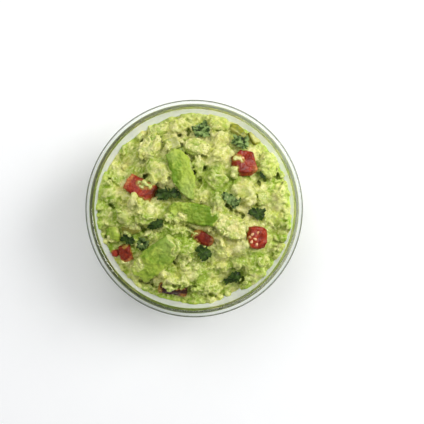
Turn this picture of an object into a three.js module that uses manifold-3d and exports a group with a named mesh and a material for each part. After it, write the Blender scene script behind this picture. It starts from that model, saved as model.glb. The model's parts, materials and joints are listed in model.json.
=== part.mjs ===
// Guacamole in its glass bowl: coarse avocado mash heaped a little above the rim, with pieces of
// avocado, tomato, onion, green chili and coriander leaf lying in its top.
// Millimetres, +Z up. The origin is under the middle of the bowl, on the surface it stands on.

import * as THREE from 'three';
import { mergeVertices } from 'three/addons/utils/BufferGeometryUtils.js';
import Module from 'manifold-3d';

const wasm = await Module();
wasm.setup();

// ---- driving dimensions ---------------------------------------------------------------------

const BOWL_HEIGHT = 55;
const RIM_RADIUS = 60; // outside of the lip
const LIP_WIDTH = 4.9; // from the inside of the wall to the outside of the lip
const LIP_THICKNESS = 2.2; // height of the lip, a flat flange with a round outer edge
const LIP_UNDERCUT = 0.6; // slope between the wall and the underside of the lip
const WALL_RADIUS = 57.6; // outside of the wall, just under the lip
const FLOOR_HEIGHT = 6; // inside floor above the table
const FOOT_RADIUS = 28.5; // outer edge of the flat foot ring
const FOOT_WIDTH = 4.5;
const FOOT_HEIGHT = 4.4; // where the foot runs into the wall
const RECESS_DEPTH = 1.5; // hollow under the base, inside the foot ring
const WALL_REACH = 56; // depth at which the outer wall's curve would close under the bowl
const INNER_CURVE = [1.7, 2.4]; // superellipse powers of the inside: depth, radius
const OUTER_CURVE = [1.7, 2.2];
const BOWL_SEGMENTS = 56;
const WALL_STEPS = 8; // straight steps of each wall's curve, from base to lip
const EDGE_STEP = 45; // degrees of the lip's outer edge that one straight step spans
const BROW_STEP = 30; // the same for the round between the lip's top and the inside
const FILL_SEGMENTS = 30; // the mash against the glass is coarser than the glass
const FILL_STEPS = 6;

const GAP = 0.3; // clearance between touching pieces
const CUT_MARGIN = 0.42; // what a piece is grown by, all round, before it cuts its neighbour

const CROWN_HEIGHT = 55.5; // top of the mash at the middle of the bowl, between the lumps
const DOME_POWER = 2.6; // how flat the dome is in the middle
const SWELLS = [1.1, 0.7]; // heights of the two rolling waves in the heap's top
const SLOPE_SPAN = 5; // distance over which the slope under a piece is taken
// Level of the mash where it meets the glass, every 30 degrees from +X, counterclockwise.
const WALL_LEVELS = [41, 41.5, 42, 42, 38.5, 40, 44, 42.5, 43.5, 40.5, 38, 43];
const PIECE_CLEARANCE = 0.52; // a lump's middle stays this share of its radius off a piece
const CORE_SINK = 1.3; // how far the bare core lies under the mean surface
const CORE_SECTORS = 30;
const CORE_RINGS = [1.06, 0.94, 0.8, 0.6, 0.4, 0.2]; // shares of the radius at the glass
const LUMP_RADII = [8.6, 7.2, 6, 5]; // the sizes of the lumps, largest first
const LUMP_ATTEMPTS = 235; // scattered tries for each size
const LUMP_SPACING = 0.66; // how close two lumps may lie, as a share of their radii
const LUMP_RISE = [-0.58, -0.36]; // height of a lump's middle, as a share of its radius
const LUMP_SEED = 4711;
// Lumps [x, y, radius] that lie on the edge of a piece and hide part of it.
const COVER_LUMPS = [
  [-24, 15.4, 3.8], [-33, 4.6, 4.2], [22, 20.4, 3.6], [-14, -39.6, 4.6], [-6, -40.6, 4.2],
  [-38.8, -29.4, 3], [14.5, -19, 3.4], [12, 4.4, 4.2], [30.4, 5.6, 4],
];
const COVER_RISE = 0.6;

const LEAF_THICKNESS = 0.7;

const FINISHES = {
  glass: { color: 0xdfe8dc, roughness: 0.05 },
  mash: { color: 0xb9c47a, roughness: 0.6 },
  avocado: { color: 0x97b550, roughness: 0.5 },
  paleAvocado: { color: 0xd3d48c, roughness: 0.55 },
  tomato: { color: 0xb03a22, roughness: 0.25 },
  onion: { color: 0xa9b487, roughness: 0.3 },
  chili: { color: 0x9c9a26, roughness: 0.35 },
  leaf: { color: 0x2f5a34, roughness: 0.6 },
};

// ---- small helpers --------------------------------------------------------------------------

const radians = THREE.MathUtils.degToRad;
const lerp = THREE.MathUtils.lerp;
const ORIGIN = new THREE.Vector2();

// Park-Miller generator: the same draws on every run.
function makeRandom(seed) {
  let state = seed;
  return (low = 0, high = 1) => {
    state = (state * 48271) % 2147483647;
    return low + (high - low) * (state / 2147483647);
  };
}

// A closed solid from a three.js geometry.
function solidOf(geometry) {
  const bare = geometry.clone();
  bare.deleteAttribute('normal');
  bare.deleteAttribute('uv');
  const merged = mergeVertices(bare, 1e-4);
  const index = merged.index.array;
  const triangles = [];
  for (let i = 0; i < index.length; i += 3) {
    const [a, b, c] = [index[i], index[i + 1], index[i + 2]];
    if (a !== b && b !== c && c !== a) triangles.push(a, b, c);
  }
  return new wasm.Manifold(new wasm.Mesh({
    numProp: 3,
    vertProperties: new Float32Array(merged.attributes.position.array),
    triVerts: new Uint32Array(triangles),
  }));
}

// The largest body of a solid, which drops loose scraps and fills sealed hollows.
function largestBody(solid) {
  return solid.decompose().reduce((best, body) => (body.volume() > best.volume() ? body : best));
}

function geometryOf(solid) {
  const mesh = solid.getMesh();
  const geometry = new THREE.BufferGeometry();
  geometry.setAttribute('position', new THREE.BufferAttribute(mesh.vertProperties, 3));
  geometry.setIndex(new THREE.BufferAttribute(mesh.triVerts, 1));
  geometry.computeVertexNormals();
  return geometry;
}

// A closed skin over counterclockwise rings of equally many points, from the lowest ring to the
// highest, with one point at each end.
function ringGeometry(firstPole, rings, lastPole) {
  const count = rings[0].length;
  const points = [firstPole, ...rings.flat(), lastPole];
  const last = points.length - 1;
  const at = (ring, step) => 1 + ring * count + (step % count);
  const triangles = [];
  for (let step = 0; step < count; step++) {
    triangles.push(0, at(0, step + 1), at(0, step));
    for (let ring = 0; ring + 1 < rings.length; ring++) {
      triangles.push(at(ring, step), at(ring, step + 1), at(ring + 1, step + 1));
      triangles.push(at(ring, step), at(ring + 1, step + 1), at(ring + 1, step));
    }
    triangles.push(at(rings.length - 1, step), at(rings.length - 1, step + 1), last);
  }
  const geometry = new THREE.BufferGeometry().setFromPoints(points);
  geometry.setIndex(triangles);
  geometry.computeVertexNormals();
  return geometry;
}

// ---- the bowl -------------------------------------------------------------------------------

const wallTop = BOWL_HEIGHT - LIP_THICKNESS;
const innerTopRadius = RIM_RADIUS - LIP_WIDTH;
const innerDepth = wallTop - FLOOR_HEIGHT;

// Inside radius of the bowl at a height between its floor and the top of its wall.
function innerRadius(height) {
  const [depthPower, radiusPower] = INNER_CURVE;
  const depth = THREE.MathUtils.clamp((wallTop - height) / innerDepth, 0, 1);
  return innerTopRadius * (1 - depth ** depthPower) ** (1 / radiusPower);
}

// Points [radius, height] of a superellipse wall, upwards from a start angle to its top.
function wallCurve(topRadius, depth, [depthPower, radiusPower], steps, startAngle = 0) {
  const points = [];
  for (let i = 0; i <= steps; i++) {
    const angle = lerp(startAngle, Math.PI / 2, i / steps);
    const radius = topRadius * Math.sin(angle) ** (2 / radiusPower);
    const height = wallTop - depth * Math.max(Math.cos(angle), 0) ** (2 / depthPower);
    points.push(new THREE.Vector2(i === 0 && startAngle === 0 ? 0 : radius, height));
  }
  return points;
}

// Points [radius, height] of a round about a middle, counterclockwise.
function arc(middleRadius, middleHeight, radius, startDegrees, endDegrees, step) {
  const points = [];
  for (let angle = startDegrees; angle < endDegrees; angle += step) {
    points.push(new THREE.Vector2(
      middleRadius + radius * Math.cos(radians(angle)),
      middleHeight + radius * Math.sin(radians(angle)),
    ));
  }
  return points;
}

function bowlGeometry() {
  const footTop = ((wallTop - FOOT_HEIGHT) / WALL_REACH) ** (OUTER_CURVE[0] / 2);
  const outside = wallCurve(WALL_RADIUS, WALL_REACH, OUTER_CURVE, WALL_STEPS, Math.acos(footTop))
    .filter((point) => point.y < wallTop - LIP_UNDERCUT);
  const inside = wallCurve(innerTopRadius, innerDepth, INNER_CURVE, WALL_STEPS).reverse();
  const edgeRadius = LIP_THICKNESS / 2;
  const lip = [
    new THREE.Vector2(WALL_RADIUS, wallTop - LIP_UNDERCUT),
    new THREE.Vector2(WALL_RADIUS + LIP_UNDERCUT, wallTop),
    ...arc(RIM_RADIUS - edgeRadius, BOWL_HEIGHT - edgeRadius, edgeRadius, -90, 91, EDGE_STEP),
    ...arc(innerTopRadius + LIP_THICKNESS, wallTop, LIP_THICKNESS, 90, 180, BROW_STEP),
  ];
  const foot = [
    [0, RECESS_DEPTH],
    [FOOT_RADIUS - FOOT_WIDTH - RECESS_DEPTH, RECESS_DEPTH],
    [FOOT_RADIUS - FOOT_WIDTH, 0],
    [FOOT_RADIUS, 0],
    [FOOT_RADIUS + 0.7, FOOT_HEIGHT * 0.3],
  ].map(([radius, height]) => new THREE.Vector2(radius, height));
  const profile = [...foot, ...outside, ...lip, ...inside];
  return new THREE.LatheGeometry(profile, BOWL_SEGMENTS).rotateX(Math.PI / 2);
}

// ---- the mash -------------------------------------------------------------------------------

// Level of the mash at the glass in a direction, smooth between the named levels.
function wallLevel(angle) {
  const position = THREE.MathUtils.euclideanModulo(angle / radians(30), WALL_LEVELS.length);
  const step = Math.floor(position);
  const share = (1 - Math.cos(Math.PI * (position - step))) / 2;
  return lerp(WALL_LEVELS[step], WALL_LEVELS[(step + 1) % WALL_LEVELS.length], share);
}

// Mean height of the mash's top over a point of the table.
function moundHeight(x, y) {
  const level = wallLevel(Math.atan2(y, x));
  const share = Math.min(Math.hypot(x, y) / (innerRadius(level) - GAP), 1);
  const broad = SWELLS[0] * Math.sin(x / 9 + 0.6) * Math.cos(y / 11 - 0.4);
  const slanting = SWELLS[1] * Math.sin((x + y) / 6);
  const dome = (CROWN_HEIGHT - level) * (1 - share ** DOME_POWER);
  return level + dome + (broad + slanting) * (1 - share ** 4);
}

// The turn that lays a flat piece on the slope of the mean surface.
function slopeAt(x, y) {
  const riseX = moundHeight(x + SLOPE_SPAN, y) - moundHeight(x - SLOPE_SPAN, y);
  const riseY = moundHeight(x, y + SLOPE_SPAN) - moundHeight(x, y - SLOPE_SPAN);
  const [slopeX, slopeY] = [riseX / (2 * SLOPE_SPAN), riseY / (2 * SLOPE_SPAN)];
  const up = new THREE.Vector3(-slopeX, -slopeY, 1).normalize();
  return new THREE.Quaternion().setFromUnitVectors(new THREE.Vector3(0, 0, 1), up);
}

// The bare heap without its lumps, wider than the bowl, which cuts it off at the glass.
function coreGeometry() {
  const directions = Array.from({ length: CORE_SECTORS }, (_, i) => (2 * Math.PI * i) / CORE_SECTORS);
  const skirt = directions.map((angle) => new THREE.Vector3(
    (RIM_RADIUS + 1) * Math.cos(angle),
    (RIM_RADIUS + 1) * Math.sin(angle),
    0,
  ));
  const rings = [skirt];
  for (const share of CORE_RINGS) {
    rings.push(directions.map((angle) => {
      const radius = share * innerRadius(wallLevel(angle));
      const [x, y] = [radius * Math.cos(angle), radius * Math.sin(angle)];
      return new THREE.Vector3(x, y, moundHeight(x, y) - CORE_SINK);
    }));
  }
  const crown = new THREE.Vector3(0, 0, moundHeight(0, 0) - CORE_SINK);
  return ringGeometry(new THREE.Vector3(), rings, crown);
}

// The space that mash may fill: the inside of the bowl less the clearance, open upwards.
function fillGeometry() {
  const wall = wallCurve(innerTopRadius - GAP, innerDepth - GAP, INNER_CURVE, FILL_STEPS);
  const sky = BOWL_HEIGHT + 30;
  const edge = wall.at(-1).x;
  const profile = [...wall, new THREE.Vector2(edge, sky), new THREE.Vector2(0, sky)];
  return new THREE.LatheGeometry(profile, FILL_SEGMENTS).rotateX(Math.PI / 2);
}

// One lump of crushed avocado: a dented, flattened ball with its middle at the origin.
function lumpGeometry(radius, random) {
  const ball = new THREE.IcosahedronGeometry(1, 1);
  ball.deleteAttribute('normal');
  ball.deleteAttribute('uv');
  const lump = mergeVertices(ball, 1e-4);
  const position = lump.attributes.position;
  for (let i = 0; i < position.count; i++) {
    const reach = radius * random(0.78, 1.16);
    position.setXYZ(i, position.getX(i) * reach, position.getY(i) * reach, position.getZ(i) * reach);
  }
  lump.scale(random(0.9, 1.25), random(0.75, 1), random(0.62, 0.85));
  return lump.rotateZ(random(0, Math.PI)).rotateX(random(-0.4, 0.4)).rotateY(random(-0.4, 0.4));
}

// Places [x, y, radius] of the lumps: the largest are scattered first and smaller ones fill
// the gaps, all clear of the middles of the pieces.
function lumpPlaces(pieces, random) {
  const places = [];
  for (const radius of LUMP_RADII) {
    for (let attempt = 0; attempt < LUMP_ATTEMPTS; attempt++) {
      const angle = random(0, 2 * Math.PI);
      const reach = Math.sqrt(random()) * (innerRadius(wallLevel(angle)) - 0.45 * radius);
      const [x, y] = [reach * Math.cos(angle), reach * Math.sin(angle)];
      const apart = places.every((other) => (
        Math.hypot(x - other[0], y - other[1]) > LUMP_SPACING * (radius + other[2])
      ));
      if (apart && pieces.every((piece) => !piece.isHiddenBy(x, y, radius))) {
        places.push([x, y, radius]);
      }
    }
  }
  return places;
}

function lumpSolids(pieces) {
  const random = makeRandom(LUMP_SEED);
  const lumpAt = (x, y, radius, rise) => solidOf(
    lumpGeometry(radius, random).translate(x, y, moundHeight(x, y) + rise),
  );
  const heaped = lumpPlaces(pieces, random);
  return [
    ...heaped.map(([x, y, radius]) => lumpAt(x, y, radius, random(...LUMP_RISE) * radius)),
    ...COVER_LUMPS.map(([x, y, radius]) => lumpAt(x, y, radius, COVER_RISE)),
  ];
}

// ---- pieces that lie in the mash ------------------------------------------------------------

// A cut chunk: a box of length, width and height along X, Y and Z with soft, uneven edges.
// round goes from 0, a box, to 1, an egg; ends narrow it towards -X and +X; bend droops both.
function chunkGeometry({ size, round = 0.45, ends = [0, 0], bend = 0, seed = 1 }, grow) {
  const random = makeRandom(seed * 7919);
  const box = new THREE.BoxGeometry(2, 2, 2, 3, 3, 2);
  box.deleteAttribute('normal');
  box.deleteAttribute('uv');
  const chunk = mergeVertices(box, 1e-4);
  const position = chunk.attributes.position;
  const half = size.map((length) => length / 2 + grow);
  const point = new THREE.Vector3();
  for (let i = 0; i < position.count; i++) {
    point.fromBufferAttribute(position, i);
    const spread = point.length() ** 2 - 1;
    point.multiplyScalar(1 - round * 0.21 * spread);
    const wobble = 1 + random(-0.07, 0.07);
    const narrow = 1 - (point.x < 0 ? ends[0] : ends[1]) * point.x ** 2;
    const droop = bend * point.x ** 2;
    position.setXYZ(
      i,
      point.x * half[0] * wobble,
      point.y * half[1] * wobble * narrow,
      point.z * half[2] * wobble - droop,
    );
  }
  return chunk;
}

// A torn leaf: a fan with toothed lobes, a fold along X and waves, as thin as a real leaf.
function leafGeometry({ size, lobes = 3, fold = 0, wave = 0.9, seed = 1, teeth = 14 }, grow) {
  const random = makeRandom(seed * 104729);
  const [length, width] = size;
  const thickness = LEAF_THICKNESS / 2 + grow;
  const phase = random(0, 6);
  const edge = Array.from({ length: teeth }, (_, i) => {
    const angle = (2 * Math.PI * i) / teeth;
    const lobe = 1 - 0.2 * (1 - Math.cos(lobes * (angle - Math.PI))) / 2;
    const tooth = i % 2 ? 0.86 : 1;
    return [angle, lobe * tooth * random(0.9, 1.05)];
  });
  const surface = (x, y, side) => new THREE.Vector3(
    x,
    y,
    fold * Math.abs(y) + wave * Math.sin(x * 0.55 + phase) * Math.cos(y * 0.45 + phase) + side * thickness,
  );
  const ring = (share, side) => edge.map(([angle, reach]) => surface(
    share * (reach * length / 2 + grow) * Math.cos(angle),
    share * (reach * width / 2 + grow) * Math.sin(angle),
    side,
  ));
  const rings = [ring(0.5, -1), ring(1, -1), ring(1, 1), ring(0.5, 1)];
  return ringGeometry(surface(0, 0, -1), rings, surface(0, 0, 1));
}

// Each row: middle [x, y], size, turn about Z, lean off the slope of the mash about the piece's
// own X and Y axes (degrees), and how far the middle of its top stands over the mean surface.
const PIECES = {
  tomato_1: { at: [27.6, 25], size: [13.5, 14.5, 7], turn: 10, lean: [-4, 4], top: 2.2, ends: [0.3, 0.15] },
  tomato_2: { at: [-30, 11.2], size: [18, 10.5, 8], turn: -30, lean: [2, -4], top: 1.4, round: 0.3 },
  tomato_3: { at: [5, -16.2], size: [13, 7.5, 6], turn: -26, lean: [6, 4], top: -0.2, round: 0.8 },
  tomato_4: { at: [34.5, -16], size: [11.5, 13, 7], turn: -6, lean: [4, 3], top: 2, ends: [0.15, 0.2] },
  tomato_5: { at: [-37.8, -24.6], size: [7, 9, 6], turn: 14, lean: [6, 4], top: 1.4, round: 0.35 },
  tomato_6: { at: [-44, -24.6], size: [4, 3.6, 4], turn: 0, lean: [0, -4], top: 1.2, round: 0.4 },
  tomato_7: { at: [-12, -44.4], size: [17, 6, 6], turn: -12, lean: [12, 2], top: 1.2, round: 0.4 },

  avocado_1: { at: [-6.4, 18.6], size: [30, 13.5, 8], turn: -69, lean: [5, 0], top: 2.4, ends: [0.3, 0.8] },
  avocado_2: { at: [0.5, -2.8], size: [30, 12.5, 8], turn: -12, lean: [-5, 2], top: 2.2, ends: [0.3, 0.4] },
  avocado_3: { at: [-21, -27.5], size: [32, 16, 8], turn: 42, lean: [3, -2], top: 1.8, ends: [0.35, 0.25] },
  avocado_4: { at: [41, 24], size: [14, 12.5, 8], turn: 68, lean: [4, -4], top: 2.4, round: 0.65 },
  avocado_5: { at: [-19.5, 43.5], size: [14, 7, 6], turn: 18, lean: [4, 0], top: 1.6, ends: [0.4, 0.2] },
  avocado_6: { at: [-45, -14], size: [8, 9.5, 6], turn: 12, lean: [0, 4], top: 1.6, round: 0.7 },
  avocado_7: { at: [-24, 33.5], size: [15, 12, 8], turn: 62, lean: [-5, 3], top: 2.2, ends: [0.2, 0.4] },
  avocado_8: { at: [20, -9.8], size: [18.5, 13, 8], turn: -24, lean: [0, 4], top: 1.8, ends: [0.3, 0.35] },
  avocado_9: { at: [13.5, 47], size: [12, 9, 7], turn: 8, lean: [4, 0], top: 2, round: 0.8 },
  avocado_10: { at: [1.5, 33.8], size: [14.5, 9, 7], turn: -14, lean: [-4, 3], top: 2.4, ends: [0.35, 0.2] },
  avocado_11: { at: [37, 5.6], size: [5.5, 7.5, 6], turn: 4, lean: [3, 4], top: 2.2, round: 0.55 },

  onion_1: { at: [-12, 35.8], size: [7.5, 7, 3.4], turn: 24, lean: [-6, 4], top: 1.6, round: 0.25 },
  onion_2: { at: [-35, -11.2], size: [10.5, 6, 4], turn: 18, lean: [4, -5], top: 0.6, round: 0.35 },
  chili_1: { at: [24.8, 43.2], size: [11, 4.6, 3.4], turn: -38, lean: [-4, 4], top: 2.4, bend: 0.8 },
  chili_2: { at: [33.6, 40], size: [8, 5.4, 3.4], turn: -62, lean: [-3, 4], top: 1.8 },

  leaf_1: { at: [4.4, 43.6], size: [12.5, 11.5], turn: 20, lean: [6, 4], top: 2.2 },
  leaf_2: { at: [25.6, 37], size: [12, 9.5], turn: -20, lean: [6, -5], top: 2.4, fold: 0.3 },
  leaf_3: { at: [-14.6, 8.2], size: [17, 8], turn: 8, lean: [-9, 0], top: 2, lobes: 5, fold: 0.15 },
  leaf_4: { at: [35.4, -2.6], size: [12, 8], turn: -18, lean: [6, 2], top: 2.2 },
  leaf_5: { at: [5.4, -24.6], size: [12.5, 8.5], turn: -48, lean: [7, 4], top: 1.6 },
  leaf_6: { at: [21.4, -39], size: [13, 8], turn: 24, lean: [6, 4], top: 1.8 },
  leaf_7: { at: [-36.6, -17.2], size: [11, 6], turn: -12, lean: [4, -4], top: 1.4 },
  leaf_8: { at: [-28.6, -19.6], size: [9, 8], turn: 60, lean: [8, -3], top: 1.8 },
  leaf_9: { at: [-21.2, -9], size: [11, 6], turn: 28, lean: [8, 0], top: 1.4 },
  leaf_10: { at: [-8, 7.8], size: [6, 2.6], turn: -62, lean: [24, 0], top: 2.2, lobes: 1 },
  leaf_11: { at: [20.4, 5], size: [14, 7.4], turn: -32, lean: [3, 4], top: 1.9 },
  leaf_12: { at: [38.2, 18.4], size: [6, 4], turn: -34, lean: [8, 4], top: 1.6, lobes: 1 },
};

// The pieces cut from near the stone, which are paler.
const PALE = ['avocado_7', 'avocado_8', 'avocado_9', 'avocado_10', 'avocado_11'];

function materialFor(kind) {
  return new THREE.MeshStandardMaterial({ metalness: 0, ...FINISHES[kind] });
}

// A piece in its place: its mesh, the grown solid that cuts what it lies in, and a test for
// lumps that would hide it.
function makePiece(name, row, order) {
  const settings = { ...row, seed: order + 3 };
  const [kind] = name.split('_');
  const shape = kind === 'leaf' ? leafGeometry : chunkGeometry;
  const finish = PALE.includes(name) ? 'paleAvocado' : kind;
  const mesh = new THREE.Mesh(shape(settings, 0), materialFor(finish));
  const [x, y] = row.at;
  mesh.name = name;
  const thickness = row.size[2] ?? LEAF_THICKNESS;
  mesh.position.set(x, y, moundHeight(x, y) + row.top - thickness / 2);
  const [leanX, leanY] = row.lean.map(radians);
  const own = new THREE.Euler(leanX, leanY, radians(row.turn), 'ZXY');
  mesh.quaternion.copy(slopeAt(x, y)).multiply(new THREE.Quaternion().setFromEuler(own));
  mesh.updateMatrixWorld();
  const grown = solidOf(shape(settings, CUT_MARGIN).applyMatrix4(mesh.matrixWorld));
  const isHiddenBy = (lumpX, lumpY, lumpRadius) => {
    const offset = new THREE.Vector2(lumpX - x, lumpY - y).rotateAround(ORIGIN, -radians(row.turn));
    const spare = PIECE_CLEARANCE * lumpRadius;
    return Math.hypot(offset.x / (row.size[0] / 2 + spare), offset.y / (row.size[1] / 2 + spare)) < 1;
  };
  return { mesh, grown, isHiddenBy };
}

// Cuts a piece clear of the glass and of the pieces that were laid before it.
function trimPiece(piece, fill, earlier) {
  const { mesh } = piece;
  let solid = solidOf(mesh.geometry.clone().applyMatrix4(mesh.matrixWorld)).intersect(fill);
  for (const other of earlier) solid = solid.subtract(other.grown);
  const place = mesh.matrixWorld.clone().invert();
  mesh.geometry = geometryOf(largestBody(solid)).applyMatrix4(place);
}

// ---- assembly -------------------------------------------------------------------------------

function makeGuacamole() {
  const object = new THREE.Group();

  const bowl = new THREE.Mesh(bowlGeometry(), materialFor('glass'));
  bowl.name = 'bowl';
  object.add(bowl);

  const fill = solidOf(fillGeometry());
  const toppings = new THREE.Group();
  const pieces = Object.entries(PIECES).map(([name, row], order) => makePiece(name, row, order));
  pieces.forEach((piece, order) => {
    trimPiece(piece, fill, pieces.slice(0, order));
    toppings.add(piece.mesh);
  });
  object.add(toppings);

  let heap = solidOf(coreGeometry());
  for (const lump of lumpSolids(pieces)) heap = heap.add(lump);
  heap = heap.intersect(fill);
  for (const piece of pieces) heap = heap.subtract(piece.grown);
  const mash = new THREE.Mesh(geometryOf(largestBody(heap)), materialFor('mash'));
  mash.name = 'mash';
  object.add(mash);
  return object;
}

export default makeGuacamole();
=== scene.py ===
"""Guacamole in a clear glass bowl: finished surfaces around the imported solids.

Metres, +Z up, in the frame of the solids. The mash, the cut pieces and the leaves start from
their solids, so they keep their form and place; the glass is turned from its own curve.
"""

import json
import math

import bmesh
import bpy
import numpy as np
from mathutils import Matrix, Vector
from mathutils.bvhtree import BVHTree
from mathutils.kdtree import KDTree


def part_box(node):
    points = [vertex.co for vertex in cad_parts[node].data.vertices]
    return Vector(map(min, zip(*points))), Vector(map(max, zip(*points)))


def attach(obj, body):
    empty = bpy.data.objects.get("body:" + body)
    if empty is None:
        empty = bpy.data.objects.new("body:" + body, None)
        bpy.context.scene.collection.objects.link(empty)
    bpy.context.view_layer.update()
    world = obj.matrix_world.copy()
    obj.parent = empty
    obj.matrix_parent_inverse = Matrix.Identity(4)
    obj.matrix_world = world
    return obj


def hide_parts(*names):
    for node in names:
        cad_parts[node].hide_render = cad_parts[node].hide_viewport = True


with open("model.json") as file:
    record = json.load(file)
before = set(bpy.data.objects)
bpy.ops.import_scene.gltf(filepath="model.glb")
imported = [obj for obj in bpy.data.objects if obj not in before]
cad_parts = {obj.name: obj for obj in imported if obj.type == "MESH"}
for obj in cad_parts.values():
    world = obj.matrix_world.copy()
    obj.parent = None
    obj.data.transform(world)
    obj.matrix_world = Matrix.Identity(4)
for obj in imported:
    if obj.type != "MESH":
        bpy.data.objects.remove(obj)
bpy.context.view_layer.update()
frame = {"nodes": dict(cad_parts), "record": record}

MM = 0.001

# ---- sizes ------------------------------------------------------------------------------------

# The bowl's curves, as its solid has them.
RIM_RADIUS = (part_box("bowl")[1].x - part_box("bowl")[0].x) / 2
BOWL_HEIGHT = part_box("bowl")[1].z
LIP_WIDTH = 4.9 * MM
LIP_THICKNESS = 2.2 * MM
LIP_UNDERCUT = 0.6 * MM
WALL_RADIUS = 57.6 * MM
FLOOR_HEIGHT = 6 * MM
FOOT_RADIUS = 28.5 * MM
FOOT_WIDTH = 4.5 * MM
FOOT_HEIGHT = 4.4 * MM
RECESS_DEPTH = 1.5 * MM
WALL_REACH = 56 * MM
INNER_CURVE = (1.7, 2.4)
OUTER_CURVE = (1.7, 2.2)

WALL_TOP = BOWL_HEIGHT - LIP_THICKNESS
INNER_TOP = RIM_RADIUS - LIP_WIDTH
INNER_DEPTH = WALL_TOP - FLOOR_HEIGHT

ABOVE_ALL = 0.2  # a height over everything, from which rays are sent down
SAME_PLACE = 1e-6  # corners nearer to each other than this are one
CROWDED = 1e8  # points for each square metre, far more than any spacing leaves

# Voxel sizes of the steps that fuse the food, and the triangles that the mash may keep.
COARSE = 0.8 * MM
MEDIUM = 0.55 * MM
FINE = 0.4 * MM
LEAF_VOXEL = 0.35 * MM
MOST_TRIANGLES = 196000

FOOD_NODES = [name for name in frame["nodes"] if name != "bowl"]
LEAVES = [name for name in FOOD_NODES if name.startswith("leaf")]


# ---- mesh helpers -----------------------------------------------------------------------------

def points_of(mesh):
    """The mesh's vertices as an array of rows."""
    flat = np.empty(len(mesh.vertices) * 3)
    mesh.vertices.foreach_get("co", flat)
    return flat.reshape(-1, 3)


def normals_of(mesh):
    """The mesh's vertex normals as an array of rows."""
    flat = np.empty(len(mesh.vertices) * 3)
    mesh.vertex_normals.foreach_get("vector", flat)
    return flat.reshape(-1, 3)


def move_points(mesh, points):
    """Puts the mesh's vertices at these places."""
    mesh.vertices.foreach_set("co", np.ascontiguousarray(points, dtype=np.float64).ravel())
    mesh.update()


def store_vectors(mesh, name, rows):
    """Keeps three numbers for each vertex under a name."""
    layer = mesh.attributes.get(name) or mesh.attributes.new(name, "FLOAT_VECTOR", "POINT")
    layer.data.foreach_set("vector", np.asarray(rows, dtype=np.float32).ravel())


def store(mesh, name, values):
    """Keeps one number for each vertex under a name that materials and trees read."""
    layer = mesh.attributes.get(name) or mesh.attributes.new(name, "FLOAT", "POINT")
    layer.data.foreach_set("value", np.asarray(values, dtype=np.float32))


def stored(mesh, name):
    """The numbers kept for each vertex under a name."""
    values = np.empty(len(mesh.vertices), dtype=np.float32)
    mesh.attributes[name].data.foreach_get("value", values)
    return values


def ease(values, low, high):
    """0 at low and below, 1 at high and above, smooth between."""
    share = np.clip((values - low) / (high - low), 0, 1)
    return share * share * (3 - 2 * share)


def solid_copy(node):
    """The node's own mesh with its shared corners merged."""
    mesh = frame["nodes"][node].data.copy()
    work = bmesh.new()
    work.from_mesh(mesh)
    bmesh.ops.remove_doubles(work, verts=work.verts, dist=SAME_PLACE)
    work.to_mesh(mesh)
    work.free()
    mesh.materials.clear()
    return mesh


def finished(work, name):
    """A mesh of what the bmesh holds, which is freed."""
    mesh = bpy.data.meshes.new(name)
    work.to_mesh(mesh)
    work.free()
    return mesh


def join_meshes(meshes):
    """One mesh that holds all of them, not fused."""
    work = bmesh.new()
    for mesh in meshes:
        work.from_mesh(mesh)
    return finished(work, "joined")


def shaped(mesh, *modifiers):
    """The mesh after modifiers, each a kind with its settings, as a plain mesh."""
    holder = bpy.data.objects.new("holder", mesh)
    bpy.context.collection.objects.link(holder)
    for kind, settings in modifiers:
        modifier = holder.modifiers.new(kind, kind)
        for name, value in settings.items():
            setattr(modifier, name, value)
    result = taken_from(holder)
    bpy.data.objects.remove(holder)
    return result


def taken_from(holder):
    """A plain mesh of what the object's modifiers make."""
    depsgraph = bpy.context.evaluated_depsgraph_get()
    depsgraph.update()
    return bpy.data.meshes.new_from_object(holder.evaluated_get(depsgraph), depsgraph=depsgraph)


def remeshed(mesh, voxel, smoothing=0):
    """The outside of the mesh's parts fused into one even skin, smoothed a number of times."""
    steps = [("REMESH", {"mode": "VOXEL", "voxel_size": voxel, "adaptivity": 0})]
    if smoothing:
        steps.append(("SMOOTH", {"factor": 0.5, "iterations": smoothing}))
    return shaped(mesh, *steps)


def tree_of(mesh):
    """A search tree for rays and nearest points."""
    mesh.calc_loop_triangles()
    corners = [vertex.co.copy() for vertex in mesh.vertices]
    return BVHTree.FromPolygons(corners, [tuple(face.vertices) for face in mesh.loop_triangles])


def make_piece(name, mesh, material, nodes):
    """A finished piece that rides on the part and stands for these nodes."""
    mesh.name = name
    mesh.materials.clear()
    mesh.materials.append(material)
    mesh.polygons.foreach_set("use_smooth", np.ones(len(mesh.polygons), dtype=bool))
    piece = bpy.data.objects.new(name, mesh)
    bpy.context.collection.objects.link(piece)
    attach(piece, "root")
    if nodes:
        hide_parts(*nodes)
    return piece


# ---- node helpers -----------------------------------------------------------------------------

def add(tree, kind, inputs=(), **settings):
    """A node with its settings made and its inputs filled by values or by other sockets."""
    node = tree.nodes.new(kind)
    for name, value in settings.items():
        setattr(node, name, value)
    for key, value in dict(inputs).items():
        if isinstance(value, bpy.types.NodeSocket):
            tree.links.new(value, node.inputs[key])
        else:
            node.inputs[key].default_value = value
    return node


def calc(tree, operation, first, second=0.0, third=0.0):
    """The result of a sum on values or sockets, as a socket."""
    node = add(tree, "ShaderNodeMath", {0: first, 1: second, 2: third}, operation=operation)
    return node.outputs[0]


def vector_calc(tree, operation, first, second=(0, 0, 0), scale=None):
    """The result of a sum on vectors, as a socket."""
    inputs = {0: first, 1: second}
    if scale is not None:
        inputs["Scale"] = scale
    node = add(tree, "ShaderNodeVectorMath", inputs, operation=operation)
    return node.outputs["Value" if operation == "DOT_PRODUCT" else "Vector"]


def blend_colors(tree, factor, first, second):
    """The first colour at factor 0, the second at factor 1."""
    node = add(tree, "ShaderNodeMix", {0: factor, 6: first, 7: second}, data_type="RGBA")
    return node.outputs[2]


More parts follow.
